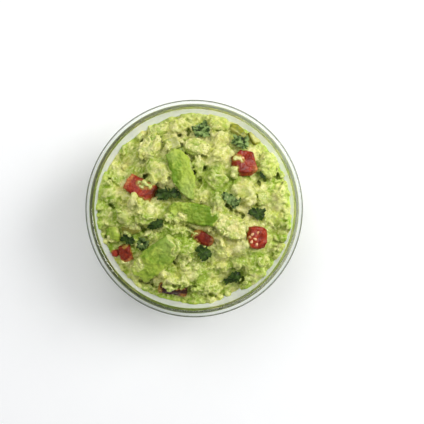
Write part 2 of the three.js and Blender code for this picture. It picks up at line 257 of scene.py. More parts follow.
def spread(tree, value, low, high, first=0.0, second=1.0):
    """The value mapped from low..high to first..second, held at the ends."""
    node = add(
        tree, "ShaderNodeMapRange", {0: value, 1: low, 2: high, 3: first, 4: second}, clamp=True
    )
    return node.outputs[0]


def new_group(name, kind, inputs, outputs):
    """An empty node group with its named sockets, and its input and output nodes."""
    group = bpy.data.node_groups.new(name, kind)
    for label, socket, default in inputs:
        made = group.interface.new_socket(label, in_out="INPUT", socket_type=socket)
        if default is not None:
            made.default_value = default
    for label, socket in outputs:
        group.interface.new_socket(label, in_out="OUTPUT", socket_type=socket)
    return group, group.nodes.new("NodeGroupInput").outputs, group.nodes.new("NodeGroupOutput")


def run_tree(mesh, group, values):
    """The mesh after a geometry tree whose named inputs hold these values."""
    holder = bpy.data.objects.new("holder", mesh)
    bpy.context.collection.objects.link(holder)
    modifier = holder.modifiers.new("tree", "NODES")
    modifier.node_group = group
    sockets = {item.name: item.identifier for item in group.interface.items_tree
               if item.item_type == "SOCKET" and item.in_out == "INPUT"}
    for name, value in values.items():
        modifier[sockets[name]] = value
    result = taken_from(holder)
    holder.modifiers.remove(modifier)
    bpy.data.objects.remove(holder)
    return result


# ---- geometry trees ---------------------------------------------------------------------------

def scatter_tree():
    """Lumps of crushed avocado scattered over a surface where its "loose" value is 1."""
    group, given, result = new_group("scattered lumps", "GeometryNodeTree", [
        ("Surface", "NodeSocketGeometry", None),
        ("Spacing", "NodeSocketFloat", 2 * MM),
        ("Smallest", "NodeSocketFloat", 1 * MM),
        ("Largest", "NodeSocketFloat", 2 * MM),
        ("Flatness", "NodeSocketFloat", 0.7),
        ("Sink", "NodeSocketFloat", 0.3),
        ("Unevenness", "NodeSocketFloat", 0.35),
        ("Detail", "NodeSocketInt", 2),
        ("Seed", "NodeSocketInt", 1),
        ("Material", "NodeSocketMaterial", None),
    ], [("Lumps", "NodeSocketGeometry")])
    loose = add(group, "GeometryNodeInputNamedAttribute", {"Name": "loose"}, data_type="FLOAT")
    places = add(group, "GeometryNodeDistributePointsOnFaces", {
        "Mesh": given["Surface"], "Distance Min": given["Spacing"], "Density Max": CROWDED,
        "Density Factor": loose.outputs["Attribute"], "Seed": given["Seed"],
    }, distribute_method="POISSON")
    size = add(group, "FunctionNodeRandomValue", {
        2: given["Smallest"], 3: given["Largest"], "Seed": given["Seed"],
    }, data_type="FLOAT").outputs[1]
    down = calc(group, "MULTIPLY", calc(group, "MULTIPLY", size, given["Sink"]), -1.0)
    sunk = add(group, "GeometryNodeSetPosition", {
        "Geometry": places.outputs["Points"],
        "Offset": vector_calc(group, "SCALE", places.outputs["Normal"], scale=down),
    })
    squeeze = add(group, "FunctionNodeRandomValue", {
        0: (0.75, 0.75, 0.75), 1: (1.3, 1.15, 1.0), "Seed": calc(group, "ADD", given["Seed"], 1.0),
    }, data_type="FLOAT_VECTOR").outputs[0]
    flat = add(group, "ShaderNodeCombineXYZ", {"X": 1.0, "Y": 1.0, "Z": given["Flatness"]})
    scale = vector_calc(group, "SCALE", vector_calc(group, "MULTIPLY", squeeze, flat.outputs[0]),
                        scale=size)
    spin = add(group, "FunctionNodeRandomValue", {
        0: (-0.5, -0.5, -math.pi), 1: (0.5, 0.5, math.pi),
        "Seed": calc(group, "ADD", given["Seed"], 2.0),
    }, data_type="FLOAT_VECTOR").outputs[0]
    turned = add(group, "FunctionNodeRotateRotation", {
        "Rotation": places.outputs["Rotation"], "Rotate By": spin,
    }, rotation_space="LOCAL")
    ball = add(group, "GeometryNodeMeshIcoSphere", {"Radius": 1.0, "Subdivisions": given["Detail"]})
    heap = add(group, "GeometryNodeInstanceOnPoints", {
        "Points": sunk.outputs[0], "Instance": ball.outputs["Mesh"],
        "Rotation": turned.outputs[0], "Scale": scale,
    })
    tone = add(group, "FunctionNodeRandomValue", {
        2: 0.0, 3: 1.0, "Seed": calc(group, "ADD", given["Seed"], 3.0),
    }, data_type="FLOAT").outputs[1]
    toned = add(group, "GeometryNodeStoreNamedAttribute", {
        "Geometry": heap.outputs[0], "Name": "tone", "Value": tone,
    }, data_type="FLOAT", domain="INSTANCE")
    real = add(group, "GeometryNodeRealizeInstances", {0: toned.outputs[0]})
    dents = add(group, "ShaderNodeTexNoise", {
        "Vector": add(group, "GeometryNodeInputPosition").outputs[0],
        "Scale": calc(group, "DIVIDE", 0.8, given["Smallest"]), "Detail": 1.0,
    })
    depth = calc(group, "MULTIPLY", calc(group, "SUBTRACT", dents.outputs[0], 0.5),
                 calc(group, "MULTIPLY", given["Largest"], given["Unevenness"]))
    uneven = add(group, "GeometryNodeSetPosition", {
        "Geometry": real.outputs[0],
        "Offset": vector_calc(group, "SCALE", add(group, "GeometryNodeInputNormal").outputs[0],
                              scale=calc(group, "MULTIPLY", depth, 2.0)),
    })
    dressed = add(group, "GeometryNodeSetMaterial", {
        "Geometry": uneven.outputs[0], "Material": given["Material"],
    })
    group.links.new(dressed.outputs[0], result.inputs[0])
    return group


def relief_tree():
    """Relief along a surface's normals: curds, creased folds, ragged tears, grain along a fibre."""
    group, given, result = new_group("surface relief", "GeometryNodeTree", [
        ("Surface", "NodeSocketGeometry", None),
        ("Curd Size", "NodeSocketFloat", 3 * MM),
        ("Curd Depth", "NodeSocketFloat", 0.4 * MM),
        ("Fold Size", "NodeSocketFloat", 4 * MM),
        ("Fold Depth", "NodeSocketFloat", 0.0),
        ("Tear Size", "NodeSocketFloat", 2 * MM),
        ("Tear Depth", "NodeSocketFloat", 0.0),
        ("Grain Size", "NodeSocketFloat", 1 * MM),
        ("Grain Depth", "NodeSocketFloat", 0.15 * MM),
        ("Fibre", "NodeSocketVector", (1, 0, 0)),
        ("Fibre Stretch", "NodeSocketFloat", 0.0),
        ("Material", "NodeSocketMaterial", None),
    ], [("Surface", "NodeSocketGeometry")])
    place = add(group, "GeometryNodeInputPosition").outputs[0]
    along = vector_calc(group, "DOT_PRODUCT", place, given["Fibre"])
    pulled = vector_calc(group, "SUBTRACT", place, vector_calc(
        group, "SCALE", given["Fibre"], scale=calc(group, "MULTIPLY", along, given["Fibre Stretch"])))
    swirl = add(group, "ShaderNodeTexNoise", {
        "Vector": place, "Scale": calc(group, "DIVIDE", 0.7, given["Curd Size"]), "Detail": 1.0,
    }).outputs["Color"]
    bend = vector_calc(group, "SCALE", vector_calc(group, "SUBTRACT", swirl, (0.5, 0.5, 0.5)),
                       scale=calc(group, "MULTIPLY", given["Curd Size"], 1.6))
    curds = add(group, "ShaderNodeTexVoronoi", {
        "Vector": vector_calc(group, "ADD", place, bend),
        "Scale": calc(group, "DIVIDE", 1.0, given["Curd Size"]), "Smoothness": 0.25,
    }, feature="SMOOTH_F1")
    rounds = calc(group, "MULTIPLY", calc(group, "SUBTRACT", 0.45, curds.outputs["Distance"]),
                  given["Curd Depth"])
    folds = add(group, "ShaderNodeTexNoise", {
        "Vector": vector_calc(group, "ADD", place, bend),
        "Scale": calc(group, "DIVIDE", 1.0, given["Fold Size"]), "Detail": 2.0, "Distortion": 1.0,
    })
    crease = calc(group, "ABSOLUTE", calc(group, "SUBTRACT", folds.outputs[0], 0.5))
    folded = calc(group, "MULTIPLY", calc(group, "SUBTRACT", crease, 0.08),
                  calc(group, "MULTIPLY", given["Fold Depth"], 6.0))
    tears = add(group, "ShaderNodeTexNoise", {
        "Vector": place, "Scale": calc(group, "DIVIDE", 1.0, given["Tear Size"]), "Detail": 3.0,
        "Roughness": 0.62, "Distortion": 0.6,
    })
    torn = calc(group, "MULTIPLY", calc(group, "SUBTRACT", tears.outputs[0], 0.5),
                calc(group, "MULTIPLY", given["Tear Depth"], 3.0))
    grain = add(group, "ShaderNodeTexNoise", {
        "Vector": pulled, "Scale": calc(group, "DIVIDE", 1.0, given["Grain Size"]), "Detail": 3.0,
    })
    fine = calc(group, "MULTIPLY", calc(group, "SUBTRACT", grain.outputs[0], 0.5),
                calc(group, "MULTIPLY", given["Grain Depth"], 2.0))
    loose = add(group, "GeometryNodeInputNamedAttribute", {"Name": "loose"}, data_type="FLOAT")
    total = calc(group, "ADD", calc(group, "ADD", rounds, folded), calc(group, "ADD", torn, fine))
    height = calc(group, "MULTIPLY", total, loose.outputs["Attribute"])
    raised = add(group, "GeometryNodeSetPosition", {
        "Geometry": given["Surface"],
        "Offset": vector_calc(group, "SCALE", add(group, "GeometryNodeInputNormal").outputs[0],
                              scale=height),
    })
    real = add(group, "GeometryNodeRealizeInstances", {0: raised.outputs[0]})
    dressed = add(group, "GeometryNodeSetMaterial", {
        "Geometry": real.outputs[0], "Material": given["Material"],
    })
    group.links.new(dressed.outputs[0], result.inputs[0])
    return group


# ---- shader groups ----------------------------------------------------------------------------

def mottle_group():
    """Two colours of flesh mixed in soft patches, with finer flecks."""
    group, given, result = new_group("flesh mottle", "ShaderNodeTree", [
        ("Vector", "NodeSocketVector", None),
        ("Patch Size", "NodeSocketFloat", 4 * MM),
        ("Pale", "NodeSocketColor", (0.7, 0.7, 0.4, 1)),
        ("Deep", "NodeSocketColor", (0.4, 0.5, 0.1, 1)),
        ("Shift", "NodeSocketFloat", 0.0),
    ], [("Color", "NodeSocketColor")])
    scale = calc(group, "DIVIDE", 1.0, given["Patch Size"])
    patches = add(group, "ShaderNodeTexNoise", {
        "Vector": given["Vector"], "Scale": scale, "Detail": 2.0,
    }).outputs[0]
    flecks = add(group, "ShaderNodeTexNoise", {
        "Vector": given["Vector"], "Scale": calc(group, "MULTIPLY", scale, 5.0), "Detail": 2.0,
    }).outputs[0]
    total = calc(group, "ADD", calc(group, "ADD", patches, given["Shift"]),
                 calc(group, "MULTIPLY", calc(group, "SUBTRACT", flecks, 0.5), 0.5))
    mixed = blend_colors(group, spread(group, total, 0.35, 0.65), given["Pale"], given["Deep"])
    group.links.new(mixed, result.inputs[0])
    return group


def moist_group():
    """Roughness that changes between wet and drier patches, and a fine uneven height."""
    group, given, result = new_group("moist surface", "ShaderNodeTree", [
        ("Vector", "NodeSocketVector", None),
        ("Patch Size", "NodeSocketFloat", 3 * MM),
        ("Wettest", "NodeSocketFloat", 0.2),
        ("Driest", "NodeSocketFloat", 0.55),
    ], [("Roughness", "NodeSocketFloat"), ("Height", "NodeSocketFloat")])
    scale = calc(group, "DIVIDE", 1.0, given["Patch Size"])
    patches = add(group, "ShaderNodeTexNoise", {
        "Vector": given["Vector"], "Scale": scale, "Detail": 2.0,
    }).outputs[0]
    pores = add(group, "ShaderNodeTexNoise", {
        "Vector": given["Vector"], "Scale": calc(group, "MULTIPLY", scale, 4.0), "Detail": 3.0,
    }).outputs[0]
    rough = spread(group, patches, 0.35, 0.62, given["Wettest"], given["Driest"])
    group.links.new(rough, result.inputs["Roughness"])
    group.links.new(pores, result.inputs["Height"])
    return group


MOTTLE = mottle_group()
MOIST = moist_group()
SCATTER = scatter_tree()
RELIEF = relief_tree()


# ---- materials --------------------------------------------------------------------------------

def color(red, green, blue):
    """A colour given as it shows on a screen, 0 to 255, as the linear colour a shader takes."""
    def linear(value):
        share = value / 255
        return share / 12.92 if share <= 0.04045 else ((share + 0.055) / 1.055) ** 2.4
    return (linear(red), linear(green), linear(blue), 1.0)


def new_material(name):
    """A material with an empty tree, its shader node and its object coordinates."""
    material = bpy.data.materials.new(name)
    material.use_nodes = True
    tree = material.node_tree
    tree.nodes.clear()
    shader = add(tree, "ShaderNodeBsdfPrincipled")
    output = add(tree, "ShaderNodeOutputMaterial")
    tree.links.new(shader.outputs[0], output.inputs["Surface"])
    place = add(tree, "ShaderNodeTexCoord").outputs["Object"]
    return material, tree, shader, place


def set_inputs(shader, **values):
    """Sets a shader's own sockets, each named with _ for a space."""
    for name, value in values.items():
        shader.inputs[name.replace("_", " ")].default_value = value


def attribute(tree, name, output="Fac"):
    """What the mesh keeps for each vertex under a name, as a socket."""
    return add(tree, "ShaderNodeAttribute", attribute_name=name).outputs[output]


def noise(tree, place, size, detail=2.0, **more):
    """Cloudy patches from 0 to 1, of about this size."""
    inputs = {"Vector": place, "Scale": 1 / size, "Detail": detail, **more}
    return add(tree, "ShaderNodeTexNoise", inputs).outputs[0]


def mottled(tree, place, patch, pale, deep, shift=0.0):
    """Two colours mixed in soft patches of this size."""
    return add(tree, "ShaderNodeGroup", {
        "Vector": place, "Patch Size": patch, "Pale": pale, "Deep": deep, "Shift": shift,
    }, node_tree=MOTTLE).outputs[0]


def make_moist(tree, shader, place, patch, wettest, driest, depth):
    """Wet and drier patches in the roughness, with a fine bump of this depth."""
    moist = add(tree, "ShaderNodeGroup", {
        "Vector": place, "Patch Size": patch, "Wettest": wettest, "Driest": driest,
    }, node_tree=MOIST)
    tree.links.new(moist.outputs["Roughness"], shader.inputs["Roughness"])
    bump = add(tree, "ShaderNodeBump", {
        "Height": moist.outputs["Height"], "Distance": depth, "Strength": 1.0,
    })
    tree.links.new(bump.outputs[0], shader.inputs["Normal"])


def mash_flesh(tree, place, zone, tone):
    """Colour of crushed avocado: pale from near the stone, greener from near the skin."""
    cream = mottled(tree, place, 4.0 * MM, color(222, 217, 154), color(194, 199, 90))
    warmth = spread(tree, noise(tree, place, 7 * MM, Distortion=0.8), 0.54, 0.66, 0.0, 0.5)
    pale = blend_colors(tree, warmth, cream, color(218, 202, 124))
    green = mottled(tree, place, 3.0 * MM, color(166, 188, 78), color(120, 152, 28))
    broad = noise(tree, place, 9 * MM)
    fine = noise(tree, place, 3.2 * MM, 3.0, Distortion=1.2)
    mix = calc(tree, "ADD", calc(tree, "MULTIPLY", tone, 0.7), calc(tree, "MULTIPLY", broad, 0.8))
    mix = calc(tree, "ADD", calc(tree, "ADD", mix, fine), zone)
    flesh = blend_colors(tree, spread(tree, mix, 0.95, 1.6), pale, green)
    speck = noise(tree, place, 0.9 * MM, Roughness=0.7)
    light = blend_colors(tree, spread(tree, speck, 0.52, 0.66, 0.0, 0.25), flesh, color(240, 240, 170))
    return blend_colors(tree, spread(tree, speck, 0.34, 0.48, 0.2, 0.0), light, color(122, 136, 20))


def mash_material():
    """Moist crushed avocado, stained beside the leaves, its clefts and hollows darkened by painted
    shade and its crests paler, partly as drier crumbs and partly as painted highlight.
    """
    material, tree, shader, place = new_material("avocado mash")
    openness = attribute(tree, "openness")
    hollow = attribute(tree, "hollow")
    flesh = mash_flesh(tree, place, attribute(tree, "zone"), attribute(tree, "tone"))
    stained = blend_colors(tree, attribute(tree, "herb"), flesh, color(80, 112, 50))
    # Painted highlight, with drier paler crumbs: the small crests are lightened towards pale cream.
    dry_and_highlit_crests = blend_colors(tree, spread(tree, hollow, 0.0, -0.8, 0.0, 0.55), stained,
                         color(222, 221, 142))
    # Painted shade: the small hollows are darkened towards olive.
    hollows_in_painted_shade = blend_colors(tree, spread(tree, hollow, 0.1, 1.0, 0.0, 0.55), dry_and_highlit_crests, color(110, 122, 20))
    # Painted shade: places that see little of the sky are darkened towards deep olive.
    cleft = spread(tree, openness, 0.06, 0.52, 0.88, 0.0)
    shaded = blend_colors(tree, cleft, hollows_in_painted_shade, color(66, 84, 14))
    tree.links.new(shaded, shader.inputs["Base Color"])
    make_moist(tree, shader, place, 2.5 * MM, 0.25, 0.6, 0.32 * MM)
    wet = calc(tree, "MULTIPLY", spread(tree, openness, 0.45, 0.85), spread(tree, hollow, 0.1, -0.5))
    tree.links.new(calc(tree, "MULTIPLY", wet, 0.9), shader.inputs["Coat Weight"])
    set_inputs(shader, Subsurface_Weight=0.08, Subsurface_Scale=0.8 * MM,
               Subsurface_Radius=(1.0, 0.8, 0.3), Specular_IOR_Level=0.06, Coat_Roughness=0.08,
               Coat_IOR=1.45)
    return material


def shaded_piece(tree, base, light, dark):
    """A colour moved to a lighter or a darker one by the piece's shade, from -1 to 1: mostly its own
    tone, in places painted shade.
    """
    shade = attribute(tree, "shade")
    lighter = blend_colors(tree, spread(tree, shade, 0.0, -1.0), base, light)
    return blend_colors(tree, spread(tree, shade, 0.0, 1.0), lighter, dark)


def avocado_material(name, pale, deep, smeared):
    """Cut avocado flesh: pale towards the stone, green towards the skin, with fine fibres."""
    material, tree, shader, place = new_material(name)
    fibre = noise(tree, attribute(tree, "along", "Vector"), 1.4 * MM, 3.0)
    ripe = calc(tree, "MULTIPLY", calc(tree, "SUBTRACT", attribute(tree, "ripe"), 0.5), 0.6)
    lines = calc(tree, "MULTIPLY", calc(tree, "SUBTRACT", fibre, 0.5), 0.5)
    flesh = mottled(tree, place, 6 * MM, pale, deep, calc(tree, "ADD", ripe, lines))
    toned = shaded_piece(tree, flesh, color(206, 218, 124), color(96, 128, 20))
    buried = calc(tree, "ADD", attribute(tree, "buried"), noise(tree, place, 2 * MM, 3.0))
    film = spread(tree, buried, 0.95 - smeared, 1.25 - smeared)
    tree.links.new(blend_colors(tree, film, toned, mash_flesh(tree, place, 0.0, 0.5)),
                   shader.inputs["Base Color"])
    make_moist(tree, shader, place, 3 * MM, 0.3, 0.55, 0.18 * MM)
    set_inputs(shader, Subsurface_Weight=0.12, Subsurface_Scale=1.0 * MM,
               Subsurface_Radius=(1.0, 0.8, 0.3), Specular_IOR_Level=0.3)
    return material


def tomato_material():
    """Wet cut tomato: watery patches, a paler side by the skin, and mash left on its edges."""
    material, tree, shader, place = new_material("red tomato")
    base = mottled(tree, place, 3.5 * MM, color(166, 54, 26), color(118, 24, 8))
    veins = noise(tree, place, 2.2 * MM, 3.0, Distortion=1.2)
    watery = blend_colors(tree, spread(tree, veins, 0.54, 0.7, 0.0, 0.55), base, color(188, 84, 46))
    # The shade brings in painted shade on the tomato pieces and spots that lie under overhanging mash.
    toned = shaded_piece(tree, watery, color(208, 110, 80), color(58, 22, 8))
    ragged = noise(tree, place, 1.6 * MM, 3.0)
    by_skin = calc(tree, "ADD", attribute(tree, "ripe"), calc(tree, "MULTIPLY", ragged, 0.4))
    by_skin = spread(tree, by_skin, 1.0, 1.2, 0.0, 0.85)
    sided = blend_colors(tree, by_skin, toned, color(204, 136, 72))
    film = spread(tree, calc(tree, "ADD", attribute(tree, "buried"), ragged), 1.05, 1.35, 0.0, 0.8)
    tree.links.new(blend_colors(tree, film, sided, color(168, 128, 54)), shader.inputs["Base Color"])
    make_moist(tree, shader, place, 2 * MM, 0.12, 0.4, 0.3 * MM)
    set_inputs(shader, Subsurface_Weight=0.1, Subsurface_Scale=1.0 * MM,
               Subsurface_Radius=(1.0, 0.2, 0.1), Specular_IOR_Level=0.15, Coat_Weight=0.2,
               Coat_Roughness=0.08)
    return material


def seed_material():
    """Pale tomato seeds in their wet jelly."""
    material, tree, shader, place = new_material("tomato seed")
    base = mottled(tree, place, 1.5 * MM, color(232, 198, 146), color(208, 142, 84))
    tree.links.new(base, shader.inputs["Base Color"])
    make_moist(tree, shader, place, 1.5 * MM, 0.12, 0.3, 0.05 * MM)
    return material


def leaf_material():
    """Coriander leaf: dark green, with paler veins and pale bluish-green patches that are partly its
    own paler colour and partly painted sheen.
    """
    material, tree, shader, place = new_material("coriander leaf")
    blade = mottled(tree, place, 2.6 * MM, color(52, 78, 14), color(16, 32, 4))
    patches = spread(tree, noise(tree, place, 2.2 * MM, 3.0), 0.42, 0.6)
    # Partly painted sheen: pale bluish-green patches on the blade.
    frost_and_sheen = calc(tree, "MULTIPLY", attribute(tree, "frost_and_sheen"), patches)
    frosted_and_sheened = blend_colors(tree, frost_and_sheen, blade, color(136, 160, 92))
    veined = blend_colors(tree, calc(tree, "MULTIPLY", attribute(tree, "vein"), 0.3), frosted_and_sheened,
                          color(108, 132, 70))
    tree.links.new(veined, shader.inputs["Base Color"])
    make_moist(tree, shader, place, 2 * MM, 0.3, 0.6, 0.12 * MM)
    set_inputs(shader, Subsurface_Weight=0.05, Subsurface_Scale=0.6 * MM,
               Subsurface_Radius=(0.6, 1.0, 0.3), Specular_IOR_Level=0.15)
    return material


def onion_material():
    """Clear onion with faint lengthwise lines."""
    material, tree, shader, place = new_material("onion")
    lines = add(tree, "ShaderNodeTexWave", {
        "Vector": place, "Scale": 1 / (7 * MM), "Distortion": 2.5, "Detail": 2.0,
    }, bands_direction="DIAGONAL").outputs["Fac"]
    base = blend_colors(tree, spread(tree, lines, 0.2, 0.8), color(178, 180, 112), color(162, 166, 92))
    toned = shaded_piece(tree, base, color(206, 206, 168), color(126, 124, 30))
    buried = calc(tree, "ADD", attribute(tree, "buried"), noise(tree, place, 2 * MM, 3.0))
    film = blend_colors(tree, spread(tree, buried, 0.9, 1.3), toned, mash_flesh(tree, place, 0.0, 0.4))
    tree.links.new(film, shader.inputs["Base Color"])
    make_moist(tree, shader, place, 3 * MM, 0.15, 0.35, 0.06 * MM)
    set_inputs(shader, Subsurface_Weight=0.4, Subsurface_Scale=2 * MM,
               Subsurface_Radius=(1.0, 0.9, 0.6), Coat_Weight=0.2, Coat_Roughness=0.12)
    return material


def chili_material():
    """Olive-yellow pepper skin, glossy, with a paler cut edge."""
    material, tree, shader, place = new_material("green chili")
    base = mottled(tree, place, 2.6 * MM, color(146, 144, 20), color(100, 108, 8))
    cut = blend_colors(tree, spread(tree, attribute(tree, "ripe"), 0.75, 0.95, 0.0, 0.6), base,
                       color(206, 204, 118))
    tree.links.new(cut, shader.inputs["Base Color"])
    make_moist(tree, shader, place, 2.5 * MM, 0.25, 0.45, 0.08 * MM)
    set_inputs(shader, Coat_Weight=0.15, Coat_Roughness=0.2)
    return material


def glass_material():
    """Clear glass with a thin moist film above the food, and painted shade as a dark line along its
    outer edge.

    Rays towards a lamp pass it, so the food and table under it aren't black.
    """
    material, tree, shader, place = new_material("clear glass")
    smear = noise(tree, place, 18 * MM)
    tree.links.new(spread(tree, smear, 0.4, 0.7, 0.0, 0.03), shader.inputs["Roughness"])
    tint = blend_colors(tree, smear, color(252, 254, 252), color(248, 252, 248))
    # Painted shade: a dark line along the rim's outer edge, where the rounded glass shows dark.
    rim = blend_colors(tree, attribute(tree, "edge"), tint, color(80, 88, 70))
    tree.links.new(rim, shader.inputs["Base Color"])
    set_inputs(shader, Transmission_Weight=1.0, IOR=1.5)
    path = add(tree, "ShaderNodeLightPath")
    clear = add(tree, "ShaderNodeBsdfTransparent", {"Color": (0.97, 0.98, 0.97, 1)})
    film = add(tree, "ShaderNodeBsdfDiffuse", {"Color": color(246, 246, 244)})
    outside = calc(tree, "SUBTRACT", 1.0, add(tree, "ShaderNodeNewGeometry").outputs["Backfacing"])
    haze = calc(tree, "MULTIPLY", calc(tree, "MULTIPLY", attribute(tree, "haze"), outside),
                spread(tree, smear, 0.3, 0.7, 0.3, 0.46))
    hazed = add(tree, "ShaderNodeMixShader", {0: haze, 1: shader.outputs[0], 2: film.outputs[0]})
    mixed = add(tree, "ShaderNodeMixShader", {
        0: path.outputs["Is Shadow Ray"], 1: hazed.outputs[0], 2: clear.outputs[0],
    })
    output = next(node for node in tree.nodes if node.type == "OUTPUT_MATERIAL")
    tree.links.new(mixed.outputs[0], output.inputs["Surface"])
    return material


# ---- the bowl ---------------------------------------------------------------------------------

FOOT_ROUND = 0.9 * MM
FOOT_FLARE = 0.7 * MM
UNDER_LIP_GAP = 0.2 * MM
FILM_FADES_IN = (34 * MM, 39 * MM)  # heights between which the film on the glass begins
FILM_FADES_OUT = (51 * MM, 53 * MM)
PAINTED_DARK_EDGE = (1.0 * MM, 0.5 * MM)  # how far inside the rim its painted dark line begins and is full


def inner_radius(level):
    """Inside radius of the bowl at heights between its floor and its lip."""
    depth = np.clip((WALL_TOP - level) / INNER_DEPTH, 0, 1)
    return INNER_TOP * (1 - depth ** INNER_CURVE[0]) ** (1 / INNER_CURVE[1])


def wall_fit(points):
    """Scale from the middle of the rim that brings each point onto the inside of the glass."""
    radius = np.hypot(points[:, 0], points[:, 1])
    depth = np.maximum(WALL_TOP - points[:, 2], 0.1 * MM)
    across = (radius / INNER_TOP) ** INNER_CURVE[1]
    down = (depth / INNER_DEPTH) ** INNER_CURVE[0]
    scale = np.ones(len(points))
    for _ in range(24):
        scale *= (across * scale ** INNER_CURVE[1] + down * scale ** INNER_CURVE[0]) ** -0.5
    return scale


def wall_curve(top_radius, depth, powers, steps, start=0.0):
    """(radius, height) pairs of a superellipse wall, from a start angle up to the lip."""
    pairs = []
    for step in range(steps + 1):
        angle = start + (math.pi / 2 - start) * step / steps
        radius = top_radius * math.sin(angle) ** (2 / powers[1])
        height = WALL_TOP - depth * max(math.cos(angle), 0) ** (2 / powers[0])
        pairs.append((radius, height))
    return pairs


def rounded(corners, fillet, steps=5):
    """The same (radius, height) path with its inner corners rounded."""
    path = [corners[0]]
    for before, corner, after in zip(corners, corners[1:], corners[2:]):
        corner_at = Vector(corner)
        inward = Vector(before) - corner_at
        outward = Vector(after) - corner_at
        reach = min(fillet, inward.length / 2.2, outward.length / 2.2)
        start, end = corner_at + inward.normalized() * reach, corner_at + outward.normalized() * reach
        for step in range(steps + 1):
            share = step / steps
            point = start.lerp(corner_at, share).lerp(corner_at.lerp(end, share), share)
            path.append(tuple(point))
    return path + [corners[-1]]


def arc(middle, radius, start, end, steps):
    """Points of a round about a middle, from a start to an end angle in degrees."""
    angles = [math.radians(start + (end - start) * step / steps) for step in range(steps + 1)]
    return [(middle[0] + radius * math.cos(angle), middle[1] + radius * math.sin(angle))
            for angle in angles]


def bowl_mesh(around=224, up=44):
    """The glass turned from its profile: foot, outer wall, flat lip, inner wall."""
    start = math.acos(((WALL_TOP - FOOT_HEIGHT) / WALL_REACH) ** (OUTER_CURVE[0] / 2))
    outside = wall_curve(WALL_RADIUS, WALL_REACH, OUTER_CURVE, up, start)
    outside = [point for point in outside if point[1] < WALL_TOP - LIP_UNDERCUT - UNDER_LIP_GAP]
    inside = wall_curve(INNER_TOP, INNER_DEPTH, INNER_CURVE, up)[::-1]
    under_lip = (WALL_RADIUS + LIP_UNDERCUT, WALL_TOP - LIP_UNDERCUT)
    edge = (RIM_RADIUS - LIP_THICKNESS / 2, BOWL_HEIGHT - LIP_THICKNESS / 2)
    brow = (INNER_TOP + LIP_THICKNESS, WALL_TOP)
    lip = (arc(under_lip, LIP_UNDERCUT, 180, 90, 6) + arc(edge, LIP_THICKNESS / 2, -90, 90, 16)
           + arc(brow, LIP_THICKNESS, 90, 180, 14)[:-1])
    foot_inside = FOOT_RADIUS - FOOT_WIDTH
    foot = rounded([(0, RECESS_DEPTH), (foot_inside - RECESS_DEPTH, RECESS_DEPTH), (foot_inside, 0),
                    (FOOT_RADIUS, 0), (FOOT_RADIUS + FOOT_FLARE, FOOT_HEIGHT * 0.3), outside[0],
                    outside[1]], FOOT_ROUND)[1:-1]
    profile = foot + outside[2:] + lip + inside[:-1]
    work = bmesh.new()
    rings = []
    for radius, height in profile:
        rings.append([work.verts.new((radius * math.cos(2 * math.pi * step / around),
                                      radius * math.sin(2 * math.pi * step / around), height))
                      for step in range(around)])
    under = work.verts.new((0, 0, RECESS_DEPTH))
    floor = work.verts.new((0, 0, FLOOR_HEIGHT))
    for step in range(around):
        after = (step + 1) % around
        for low, high in zip(rings, rings[1:]):
            work.faces.new((low[step], low[after], high[after], high[step]))
        work.faces.new((under, rings[0][after], rings[0][step]))
        work.faces.new((rings[-1][step], rings[-1][after], floor))
    mesh = finished(work, "bowl")
    points = points_of(mesh)
    level = points[:, 2]
    store(mesh, "haze", ease(level, *FILM_FADES_IN) * (1 - ease(level, *FILM_FADES_OUT)))
    radius = np.hypot(points[:, 0], points[:, 1])
    # Where the rim's painted dark line lies.
    store(mesh, "edge", ease(radius, RIM_RADIUS - PAINTED_DARK_EDGE[0], RIM_RADIUS - PAINTED_DARK_EDGE[1]))
    return mesh


# ---- how the mash lies against the glass ------------------------------------------------------

PRESS_INTO_GLASS = 0.12 * MM  # how far the mash reaches into the wall it lies against
PRESS_REACH = (3.5 * MM, 5.5 * MM)  # mash this near the glass is pressed on it, and this far isn't
TOUCH_REACH = 1.2 * MM  # the solid touches the glass where it is nearer than this
TOP_MARGIN = (0.8 * MM, 2.6 * MM)  # how far from the glass the open top begins and is full
TOP_LEVELS = (30 * MM, 36 * MM)  # heights between which the open top begins
MIDDLE = np.array([0, 0, WALL_TOP])  # the middle of the rim, from which wall_fit scales


def wall_facing(points, normals):
    """How squarely each point's normal faces the glass, 1 when it points straight at it."""
    radius = np.maximum(np.hypot(points[:, 0], points[:, 1]), 1e-6)
    depth = np.maximum(WALL_TOP - points[:, 2], 0.1 * MM)
    out = INNER_CURVE[1] * (radius / INNER_TOP) ** INNER_CURVE[1] / radius
    down = INNER_CURVE[0] * (depth / INNER_DEPTH) ** INNER_CURVE[0] / depth
    length = np.hypot(out, down)
    radial = (points[:, 0] * normals[:, 0] + points[:, 1] * normals[:, 1]) / radius
    return (radial * out - normals[:, 2] * down) / length


def contact_levels(mesh, sectors=30):
    """Height where the solid's top meets the glass, at even steps round the bowl."""
    points = points_of(mesh)
    near = (wall_fit(points) - 1) * INNER_TOP < TOUCH_REACH
    turn = np.arctan2(points[:, 1], points[:, 0]) % (2 * math.pi)
    sector = (turn / (2 * math.pi) * sectors + 0.5).astype(int) % sectors
    return np.array([points[near & (sector == each), 2].max() for each in range(sectors)])


def level_at(points, levels):
    """The contact height in each point's direction."""
    turn = np.arctan2(points[:, 1], points[:, 0]) % (2 * math.pi) / (2 * math.pi) * len(levels)
    return np.interp(turn, np.arange(len(levels) + 1), np.append(levels, levels[0]))


